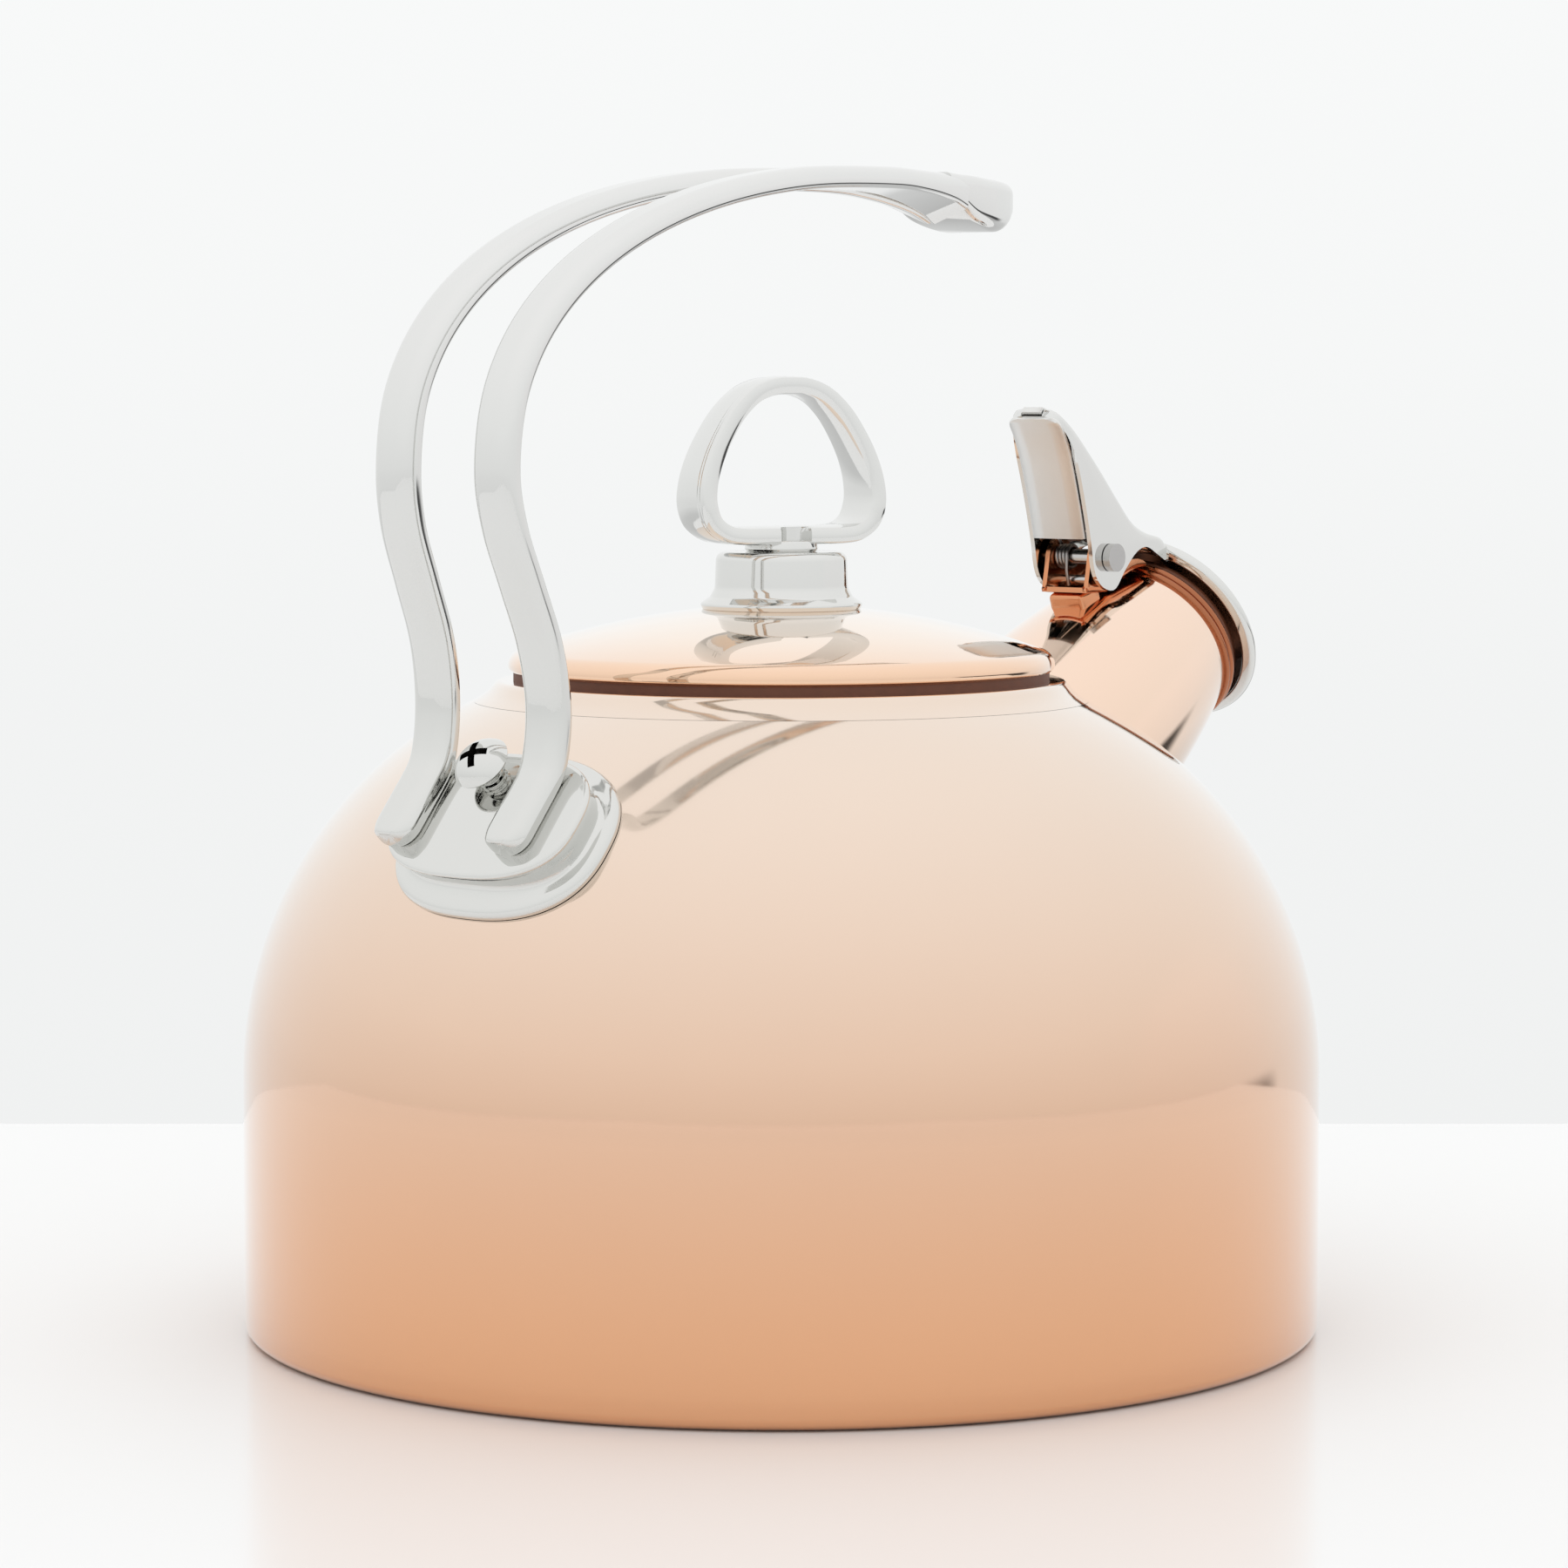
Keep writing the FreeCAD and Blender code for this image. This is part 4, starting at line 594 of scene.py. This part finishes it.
def build_lever():
    """A channel: its web is the outer face and its two cheeks run back to the pin."""
    outer = smooth_line([(-15.0, 28.2), (-11.2, 24.6), (-3.6, 17.7), (3.0, 11.2), (7.9, 6.7), (12.6, 4.5), (17.4, 3.4),
                         (19.0, 2.2)], 7)
    free = smooth_line([(-15.8, 26.8), (-13.1, 23.4), (-10.8, 18.6), (-8.4, 11.4), (-6.3, 3.6), (-5.0, -2.4),
                        (-2.5, -5.4), (1.6, -6.1), (4.9, -2.6), (8.6, 0.7), (12.0, 1.7), (15.4, 0.3), (19.2, -1.6)], 6)
    spread = []
    for index in range(len(outer)):
        share = index / (len(outer) - 1)
        place = share * (len(free) - 1)
        low = int(place)
        high = min(low + 1, len(free) - 1)
        spread.append(free[low].lerp(free[high], place - low))
    half = CHEEK_OUT
    bend = 1.5
    rings = []
    for index, (top, low) in enumerate(zip(outer, spread)):
        share = index / (len(outer) - 1)
        depth = Vector((low.x - top.x, low.y - top.y))
        reach = depth.length
        way = depth / max(reach, 0.01)
        narrow = half
        if share < 0.2:
            narrow = half - 4.6 * (1 - math.sqrt(max(0.0, 1 - (1 - share / 0.2) ** 2)))
        radius = min(bend, reach * 0.45)
        section = [(-narrow, reach), (-narrow, reach * 0.66), (-narrow, reach * 0.33 + radius * 0.5), (-narrow, radius)]
        section += [(-narrow + radius * (1 - math.cos(t)), radius * (1 - math.sin(t)))
                    for t in [math.pi / 12 * k for k in range(1, 6)]]
        section += [(-narrow + radius, 0.0), (-narrow * 0.35, -0.06), (narrow * 0.35, -0.06), (narrow - radius, 0.0)]
        section += [(narrow - radius * (1 - math.sin(t)), radius * (1 - math.cos(t)))
                    for t in [math.pi / 12 * k for k in range(1, 6)]]
        section += [(narrow, radius), (narrow, reach * 0.33 + radius * 0.5), (narrow, reach * 0.66), (narrow, reach)]
        rings.append([Vector((PIVOT.x + top.x + way.x * deep, side, PIVOT.z + top.y + way.y * deep))
                      for side, deep in section])
    bm = bmesh.new()
    extrude_rings(bm, rings, False, False)
    bmesh.ops.recalc_face_normals(bm, faces=bm.faces)
    middle = Vector((PIVOT.x - 4.0, 0.0, PIVOT.z + 8.0)) * MM
    web = min(bm.faces, key=lambda f: -(f.calc_center_median() - middle).dot(Vector((1, 0, 1))))
    if web.normal.dot(Vector((1, 0, 1))) < 0:
        bmesh.ops.reverse_faces(bm, faces=bm.faces)
    bmesh.ops.solidify(bm, geom=bm.faces[:], thickness=0.9 * MM)
    finish_piece("cap_channel", bm, chrome, CAP, ["cap_lever"], 40)
    build_back_plate()


def build_back_plate():
    """The thin plate that closes the channel's back, round at its top, with a small folded tab."""
    line = smooth_line([(-6.6, 3.7), (-8.6, 11.2), (-11.0, 18.4), (-13.1, 22.9), (-14.8, 25.4), (-15.7, 26.5)], 7)
    height = len(line) - 1
    rings = []
    for index, point in enumerate(line):
        share = index / height
        ahead = line[min(index + 1, height)]
        behind = line[max(index - 1, 0)]
        tangent = (ahead - behind).normalized()
        outward = Vector((-tangent.y, tangent.x))
        half = 5.95
        if share > 0.7:
            half -= 4.2 * (1 - math.sqrt(max(0.0, 1 - ((share - 0.7) / 0.3) ** 2)))
        ring = []
        for side, lift in ((-half, 0.15), (-half + 0.35, 0.42), (-half * 0.5, 0.5), (half * 0.5, 0.5), (half - 0.35, 0.42),
                           (half, 0.15), (half, -0.3), (-half, -0.3)):
            ring.append(Vector((PIVOT.x + point.x + outward.x * lift, side, PIVOT.z + point.y + outward.y * lift)))
        rings.append(ring)
    bm = bmesh.new()
    extrude_rings(bm, rings, True, True)
    tab = [(-14.6, 26.3), (-15.9, 27.5), (-15.2, 28.4), (-13.2, 27.9)]
    rings = []
    for side in (-2.3, -2.0, 2.0, 2.3):
        lift = 0.12 if abs(side) > 2.1 else 0.0
        rings.append([Vector((PIVOT.x + a + lift, side, PIVOT.z + b - lift)) for a, b in tab])
    extrude_rings(bm, rings, True, True)
    finish_piece("lever_back_plate", bm, chrome_soft, CAP, ["lever_inner_plate"], 40)


# ------------------------------------------------------------------ pedestal
def slope_point(down, side, out):
    return PEDESTAL - SLOPE_UP * down + Vector((0, side + PEDESTAL_SHIFT, 0)) + SLOPE_OUT * out


def oval_at(half_width, half_length, power, angle):
    c, s = math.cos(angle), math.sin(angle)
    return (half_length * math.copysign(abs(c) ** (2 / power), c), half_width * math.copysign(abs(s) ** (2 / power), s))


def dome_out(down, side, offset):
    """Distance out along the pedestal's normal to the body's surface moved out by offset."""
    low, high = -16.0, 12.0
    for _ in range(34):
        middle = (low + high) / 2
        if above_body(slope_point(down, side, middle), offset):
            high = middle
        else:
            low = middle
    return low


def build_pedestal():
    """Each ring is (inset, share of the way from the dome to the flat top, lift above the dome)."""
    around = 144
    flange = (21.4, 16.4)
    plateau = (19.7, 12.6)
    levels = [(1.2, 0.0, 0.8, 0.0), (0.55, 0.0, 0.8, 0.0), (0.5, 0.0, 0.15, 0.0), (0.15, 0.0, 0.15, 0.0),
              (0.0, 0.0, 0.5, 0.0), (0.0, 0.0, 0.9, 0.0), (0.15, 0.0, 1.35, 0.0), (0.5, 0.0, 1.7, 0.0),
              (1.0, 0.0, 1.85, 0.0), (1.6, 0.0, 1.9, 0.0), (2.1, 0.0, 2.0, 0.15), (1.75, 0.0, 2.2, 0.55),
              (1.35, 0.08, 2.2, 0.8), (1.1, 0.2, 2.2, 0.9), (0.85, 0.36, 2.2, 1.0), (0.7, 0.52, 2.2, 1.0),
              (0.5, 0.64, 2.2, 1.0), (0.22, 0.74, 2.2, 1.0), (0.05, 0.81, 2.2, 1.0), (0.0, 0.87, 2.2, 1.0),
              (0.1, 0.93, 2.2, 1.0), (0.38, 0.98, 2.2, 1.0), (0.8, 1.0, 2.2, 1.0), (1.6, 1.0, 2.2, 1.0),
              (3.0, 1.0, 2.2, 1.0), (6.0, 1.0, 2.2, 1.0)]
    rings = []
    for inset, climb, lift, blend in levels:
        ring = []
        for k in range(around):
            angle = 2 * math.pi * k / around
            wide = flange[0] + (plateau[0] - flange[0]) * blend - inset
            long = flange[1] + (plateau[1] - flange[1]) * blend - inset
            down, side = oval_at(wide, long, 2.35 + 0.3 * blend, angle)
            base = dome_out(down, side, lift)
            ring.append(slope_point(down, side, base + (PLATEAU_HIGH - base) * climb))
        rings.append(ring)
    bm = bmesh.new()
    extrude_rings(bm, rings, True, False)
    bmesh.ops.holes_fill(bm, edges=[e for e in bm.edges if e.is_boundary], sides=0)
    finish_piece("two_tier_pedestal", bm, chrome, ROOT, ["handle_pedestal"], 45)


# ------------------------------------------------------------------ handle
def handle_stations():
    """(point on the outer line, half spacing, thickness, extra depth on the slot side), in millimetres."""
    thick, spread, arch = 4.0, 12.3, 10.9
    lift = PLATEAU_HIGH + thick
    foot = PEDESTAL + SLOPE_UP * 4.0 + SLOPE_OUT * lift
    bend = PEDESTAL + SLOPE_UP * 8.5 + SLOPE_OUT * (lift + 0.7)
    waist = Vector((foot.x + 3.3, 0, foot.z + 12.0))
    back = Vector((foot.x - 7.3, 0, foot.z + 50.0))
    top = Vector((18.0, 0, 204.7))
    stations = [(foot, spread, thick, 0.0), (bend, spread, thick, 0.0), (waist, spread, thick, 0.0)]
    for step in range(1, 5):
        part = step / 4
        ease = (1 - math.cos(math.pi * part)) / 2
        point = Vector((waist.x + (back.x - waist.x) * ease, 0, waist.z + (back.z - waist.z) * part))
        stations.append((point, spread + (arch - spread) * part, thick, 0.0))
    power = 2 / 2.27
    joined = 8.4 - 4.3
    for step in range(1, 10):
        angle = math.radians(step * 10)
        x = top.x + (back.x - top.x) * math.cos(angle) ** power
        z = back.z + (top.z - back.z) * math.sin(angle) ** power
        past = max(0.0, (x + 60) / 103.5)
        stations.append((Vector((x, 0, z)), arch + (joined - arch) * past ** 2.2, thick, 3.2 * past ** 6))
    for part, depth in ((0.45, 0.04), (0.8, 0.18), (1.0, 0.38)):
        x = top.x + 25.5 * part
        past = (x + 60) / 103.5
        drop = 1.7 * ((x - top.x) / 43.5) ** 1.5
        deep = thick + 5.4 * depth
        stations.append((Vector((x, 0, top.z - drop)), arch + (joined - arch) * past ** 2.2, deep, 3.2 * past ** 6))
    return stations


def bar_section(half, thick, keel, slot_side, r=2.4, q=0.9):
    """A leg's cross-section as (across, depth): a crowned outer face with soft edges, a flatter inner face."""
    near = thick + (keel if slot_side > 0 else 0)
    far = thick + (keel if slot_side < 0 else 0)
    crown = min(0.55, half * 0.13)
    r = min(r, half * 0.62)
    q = min(q, half * 0.4)
    corners = [(-half, crown + 0.25, r), (-half * 0.42, 0.12, 3.0), (half * 0.42, 0.12, 3.0), (half, crown + 0.25, r),
               (half, near, q), (-half, far, q)]
    return rounded(corners, 6)


def build_handle():
    stations = handle_stations()
    count = 9
    points = smooth_line([s[0] for s in stations], count)
    extras = smooth_line([(s[1], s[2], s[3]) for s in stations], count)
    into = -SLOPE_OUT
    bm = bmesh.new()
    for sign in (-1, 1):
        rings = []
        foot_end = PEDESTAL - SLOPE_UP * 7.8 + SLOPE_OUT * (PLATEAU_HIGH + 4.0)
        for step in range(9):
            share = step / 8
            back = 3.4 * (1 - math.cos(math.radians(90 * share)))
            half = 4.3 - 2.6 * (1 - math.sin(math.radians(90 * share)))
            low = 0.55 * (1 - math.sin(math.radians(90 * min(1.0, share * 2.2))))
            ring = []
            for across, deep in bar_section(half, 4.0, 0.0, 0):
                squeeze = low + deep * (1 - low / 4.0)
                ring.append(foot_end + SLOPE_UP * back + Vector((0, across + sign * 12.3, 0)) + into * squeeze)
            rings.append(ring)
        for back in (6.0, 9.0):
            rings.append([foot_end + SLOPE_UP * back + Vector((0, across + sign * 12.3, 0)) + into * deep
                          for across, deep in bar_section(4.3, 4.0, 0.0, 0)])
        for index, point in enumerate(points):
            ahead = points[min(index + 1, len(points) - 1)]
            behind = points[max(index - 1, 0)]
            tangent = (ahead - behind).normalized()
            inward = Vector((tangent.z, 0, -tangent.x))
            if index < count:
                inward = into.lerp(inward, index / count).normalized()
            spread, thick, keel = extras[index]
            ring = []
            for across, deep in bar_section(4.3, thick, keel, -sign):
                ring.append(Vector((point.x, sign * spread + across, point.z)) + inward * deep)
            rings.append(ring)
        extrude_rings(bm, rings, True, True)
    tip_z = 204.7 - 1.7
    end = points[-1]
    beak = [(end.x - 5.0, end.z + 0.3, 8.3, 3.2, 1.4, 0.9), (end.x - 1.0, end.z + 0.05, 8.38, 5.6, 1.9, 1.3),
            (end.x + 3.0, end.z - 0.12, 8.25, 8.0, 1.9, 1.9),
            (end.x + 8.0, tip_z + 0.42, 7.9, 9.1, 2.0, 2.4), (end.x + 12.0, tip_z + 0.2, 7.2, 9.4, 2.0, 2.5),
            (61.5 - 3.2, tip_z - 0.02, 6.5, 8.6, 2.0, 2.4), (61.5 - 1.5, tip_z - 0.22, 5.9, 7.2, 2.0, 2.2),
            (61.5 - 0.5, tip_z - 0.6, 5.3, 5.8, 1.8, 1.9), (61.5, tip_z - 1.2, 4.4, 4.2, 1.4, 1.4)]
    dense = smooth_line([(a, b, c) for a, b, c, d, e, f in beak], 4)
    depths = smooth_line([(d, e, f) for a, b, c, d, e, f in beak], 4)
    rings = []
    for (x, z, half), (thick, r, q) in zip(dense, depths):
        line = rounded([(-half, 0.0, r), (half, 0.0, r), (half, thick, q), (-half, thick, q)], 6)
        rings.append([Vector((x, across, z - deep)) for across, deep in line])
    extrude_rings(bm, rings, True, True)
    finish_piece("twin_bar_handle", bm, chrome, ROOT, ["handle_bar"], 38)


def build_spring():
    """Three turns of wire on the pin beside the far ear, one leg down to the rod, one up under the plate."""
    wire, coil, turns, pitch = 0.36, 2.1, 3.25, 0.8
    start = 1.5
    centre = [Vector((PIVOT.x - 1.4, start, PIVOT.z - 5.4)), Vector((PIVOT.x - 2.1, start, PIVOT.z - 2.6))]
    steps = 84
    for index in range(steps + 1):
        angle = math.pi + 2 * math.pi * turns * index / steps
        centre.append(Vector((PIVOT.x + coil * math.cos(angle), start + pitch * turns * index / steps,
                              PIVOT.z - coil * math.sin(angle))))
    last = centre[-1]
    centre.append(last + Vector((-2.2, 0.0, 2.4)))
    centre.append(last + Vector((-4.4, 0.0, 7.0)))
    rings = []
    count = len(centre) - 1
    for index, point in enumerate(centre):
        tangent = (centre[min(index + 1, count)] - centre[max(index - 1, 0)]).normalized()
        side = tangent.cross(Vector((0, 1, 0))).normalized()
        up = side.cross(tangent)
        rings.append([point + (side * math.cos(t) + up * math.sin(t)) * wire
                      for t in [math.pi / 4 * k for k in range(8)]])
    bm = bmesh.new()
    extrude_rings(bm, rings, True, True)
    finish_piece("spring_on_pin", bm, spring_wire, ROOT, ["return_spring"], 60)


def build_screw():
    """Round head with a cross recess, on a threaded shank that stands clear of the flat top."""
    bm = bmesh.new()
    high = PLATEAU_HIGH + 3.0
    dome = 2.9
    ball = (5.1 ** 2 + dome ** 2) / (2 * dome)
    outline = [(0.0, -2.0), (2.1, -2.0)]
    level = -2.0
    while level < high - 1.0:
        outline += [(2.1, level + 0.12), (2.55, level + 0.36), (2.55, level + 0.44), (2.1, level + 0.68)]
        level += 0.8
    outline += [(2.2, high - 0.3), (4.6, high - 0.25), (5.0, high), (5.12, high + 0.35)]
    outline += [(radius, high + dome + 0.35 - ball + math.sqrt(ball ** 2 - radius ** 2))
                for radius in [4.95 - 4.95 * k / 18 for k in range(19)]]
    screw = PEDESTAL + SLOPE_UP * 7.7
    tilt = math.radians(40.8)
    frame_at = Matrix.Translation(screw) @ Matrix.Rotation(tilt - math.pi / 2, 4, "Y")
    spin_outline(bm, outline, 64, True, frame_at)
    screw = finish_piece("handle_fixing_screw", bm, chrome, ROOT, ["handle_screw"], 40)
    screw.data.materials.append(recess_dark)
    bm = bmesh.new()
    for turn in (20.0, 110.0):
        made = bmesh.ops.create_cube(bm, size=1.0)["verts"]
        bmesh.ops.scale(bm, vec=Vector((5.2, 1.3, 3.0)) * MM, verts=made)
        bmesh.ops.rotate(bm, verts=made, cent=(0, 0, 0), matrix=Matrix.Rotation(math.radians(turn), 3, "Z"))
        bmesh.ops.translate(bm, vec=Vector((0, 0, high + dome)) * MM, verts=made)
        place = Matrix.Scale(MM, 4) @ frame_at @ Matrix.Scale(1 / MM, 4)
        bmesh.ops.transform(bm, matrix=place, verts=made)
        mesh = bpy.data.meshes.new("recess_tool")
        bm.to_mesh(mesh)
        bm.clear()
        mesh.materials.append(recess_dark)
        tool = bpy.data.objects.new("recess_tool", mesh)
        bpy.context.scene.collection.objects.link(tool)
        carve = screw.modifiers.new("recess", "BOOLEAN")
        carve.operation = "DIFFERENCE"
        carve.solver = "EXACT"
        carve.object = tool
        bpy.context.view_layer.update()
        done = bpy.data.meshes.new_from_object(screw.evaluated_get(bpy.context.evaluated_depsgraph_get()))
        screw.modifiers.clear()
        screw.data = done
        bpy.data.objects.remove(tool)
    bm.free()


def build_bracket():
    """A bent channel: two ears round the pin, a floor that stands on a block and climbs to the mouth's hoop."""
    half, bend = 5.3, 1.7
    stations = [(-4.9, -6.3, -6.6), (-4.55, -4.4, -6.7), (-4.1, -2.2, -6.75), (-3.75, 0.2, -6.8), (-3.3, 1.7, -6.8),
                (-2.5, 2.8, -6.8), (-1.3, 3.5, -6.8), (0.0, 3.8, -6.8), (1.3, 3.5, -6.8), (2.5, 2.8, -6.75),
                (3.4, 1.7, -6.5), (4.4, 0.4, -6.0), (5.8, -0.5, -5.2), (7.5, -0.8, -4.4), (9.5, -0.7, -3.6),
                (11.6, -0.6, -2.8), (13.2, -0.9, -2.3), (14.4, -1.5, -2.2)]
    rings = []
    for x, top, floor in stations:
        wall = top - floor
        r = min(bend, wall * 0.6)
        side = [(half, top), (half, floor + r + (wall - r) * 0.5), (half, floor + r)]
        corner = [(half - r + r * math.cos(t), floor + r - r * math.sin(t)) for t in [math.pi / 12 * k for k in range(1, 7)]]
        right = side + corner
        left = [(-y, z) for y, z in reversed(right)]
        rings.append([Vector((PIVOT.x + x, y, PIVOT.z + z)) for y, z in right + left])
    bm = bmesh.new()
    extrude_rings(bm, rings, False, False)
    bmesh.ops.recalc_face_normals(bm, faces=bm.faces)
    floor_face = min(bm.faces, key=lambda face: face.calc_center_median().z)
    if floor_face.normal.z > 0:
        bmesh.ops.reverse_faces(bm, faces=bm.faces)
    bmesh.ops.solidify(bm, geom=bm.faces[:], thickness=0.95 * MM)
    made = bmesh.ops.create_cube(bm, size=1.0)["verts"]
    bmesh.ops.scale(bm, vec=Vector((6.4, 7.8, 5.6)) * MM, verts=made)
    bmesh.ops.rotate(bm, verts=made, cent=(0, 0, 0), matrix=Matrix.Rotation(math.radians(-20), 3, "Y"))
    bmesh.ops.translate(bm, vec=Vector((PIVOT.x - 1.2, 0, PIVOT.z - 8.8)) * MM, verts=made)
    edges = list({edge for vert in made for edge in vert.link_edges})
    bmesh.ops.bevel(bm, geom=edges, offset=0.9 * MM, segments=4, profile=0.5, affect="EDGES", material=-1)
    finish_piece("bent_hinge_bracket", bm, copper_dark, ROOT, ["hinge_bracket"], 40)


build_body()
build_seat()
build_lid()
build_knob()
build_spout()
build_cap()
build_bracket()
build_spring()
build_screw()
build_pedestal()
build_handle()


# ------------------------------------------------------------------ studio
def build_floor():
    bm = bmesh.new()
    bmesh.ops.create_grid(bm, x_segments=2, y_segments=2, size=1.0)
    for vert in bm.verts:
        vert.co.x *= 0.85
        vert.co.y = -1.4 + (vert.co.y + 1.0) / 2 * (1.4 + 0.235)
    bmesh.ops.rotate(bm, verts=bm.verts, cent=(0, 0, 0), matrix=Matrix.Rotation(math.radians(-51.0), 3, "Z"))
    mesh = bpy.data.meshes.new("studio_floor")
    bm.to_mesh(mesh)
    bm.free()
    floor = bpy.data.objects.new("studio_floor", mesh)
    bpy.context.scene.collection.objects.link(floor)
    floor.location.z = -0.0002
    material, nodes, links, shader = new_material("pale_floor")
    shader.inputs["Base Color"].default_value = (0.86, 0.86, 0.86, 1)
    shader.inputs["Roughness"].default_value = 0.12
    shader.inputs["Specular IOR Level"].default_value = 0.2
    mesh.materials.append(material)


def build_world():
    world = bpy.data.worlds.new("studio")
    bpy.context.scene.world = world
    world.use_nodes = True
    nodes, links = world.node_tree.nodes, world.node_tree.links
    background = nodes["Background"]
    coord = nodes.new("ShaderNodeTexCoord")
    parts = nodes.new("ShaderNodeSeparateXYZ")
    links.new(coord.outputs["Generated"], parts.inputs["Vector"])
    ramp = nodes.new("ShaderNodeValToRGB")
    height = nodes.new("ShaderNodeMapRange")
    height.inputs["From Min"].default_value = -1.0
    height.inputs["From Max"].default_value = 1.0
    links.new(parts.outputs["Z"], height.inputs["Value"])
    links.new(height.outputs["Result"], ramp.inputs["Fac"])
    stops = ramp.color_ramp
    stops.elements[0].position = 0.0
    stops.elements[0].color = (0.5, 0.5, 0.5, 1)
    stops.elements[1].position = 1.0
    stops.elements[1].color = (1.06, 1.06, 1.06, 1)
    for place, level in ((0.36, 0.70), (0.42, 0.88), (0.47, 0.90), (0.50, 0.93), (0.62, 0.99)):
        stop = stops.elements.new(place)
        stop.color = (level * 0.99, level, level * 0.998, 1)
    side = nodes.new("ShaderNodeVectorMath")
    side.operation = "DOT_PRODUCT"
    side.inputs[1].default_value = (0.777, -0.629, -0.08)
    links.new(coord.outputs["Generated"], side.inputs[0])
    away = nodes.new("ShaderNodeMapRange")
    away.interpolation_type = "SMOOTHSTEP"
    away.inputs["From Min"].default_value = 0.95
    away.inputs["From Max"].default_value = 0.89
    links.new(side.outputs["Value"], away.inputs["Value"])
    low = nodes.new("ShaderNodeValToRGB")
    links.new(height.outputs["Result"], low.inputs["Fac"])
    dark = low.color_ramp
    dark.elements[0].position = 0.0
    dark.elements[0].color = (0.25, 0.25, 0.25, 1)
    dark.elements[1].position = 1.0
    dark.elements[1].color = (1.06, 1.06, 1.06, 1)
    for place, level in ((0.37, 0.5), (0.40, 0.08), (0.45, 0.08), (0.470, 0.9), (0.53, 0.95), (0.62, 1.0)):
        stop = dark.elements.new(place)
        stop.color = (level, level, level, 1)
    blend = nodes.new("ShaderNodeMix")
    blend.data_type = "RGBA"
    links.new(away.outputs["Result"], blend.inputs[0])
    links.new(low.outputs["Color"], blend.inputs[6])
    links.new(ramp.outputs["Color"], blend.inputs[7])
    links.new(blend.outputs[2], background.inputs["Color"])
    background.inputs["Strength"].default_value = 1.0


def area_light(name, place, target, size, power, colour=(1, 1, 1)):
    data = bpy.data.lights.new(name, "AREA")
    data.shape = "RECTANGLE"
    data.size, data.size_y = size
    data.energy = power
    data.color = colour
    light = bpy.data.objects.new(name, data)
    bpy.context.scene.collection.objects.link(light)
    light.location = place
    light.visible_glossy = False
    light.rotation_euler = (Vector(target) - Vector(place)).to_track_quat("-Z", "Y").to_euler()


def build_camera():
    turn = math.radians(51.0)
    tilt = math.radians(4.76)
    data = bpy.data.cameras.new("studio_camera")
    data.sensor_width = 36.0
    data.lens = 116.12
    data.shift_x = 0.00167
    camera = bpy.data.objects.new("studio_camera", data)
    bpy.context.scene.collection.objects.link(camera)
    camera.location = (-0.890 * math.sin(turn), -0.890 * math.cos(turn), 0.170)
    forward = Vector((math.sin(turn) * math.cos(tilt), math.cos(turn) * math.cos(tilt), -math.sin(tilt)))
    camera.rotation_euler = forward.to_track_quat("-Z", "Y").to_euler()
    bpy.context.scene.camera = camera


bpy.context.scene.view_settings.view_transform = "Standard"
build_floor()
build_world()
area_light("overhead_softbox", (0.1, 0.1, 1.3), (0, 0, 0.1), (1.8, 1.8), 3.0)
build_camera()
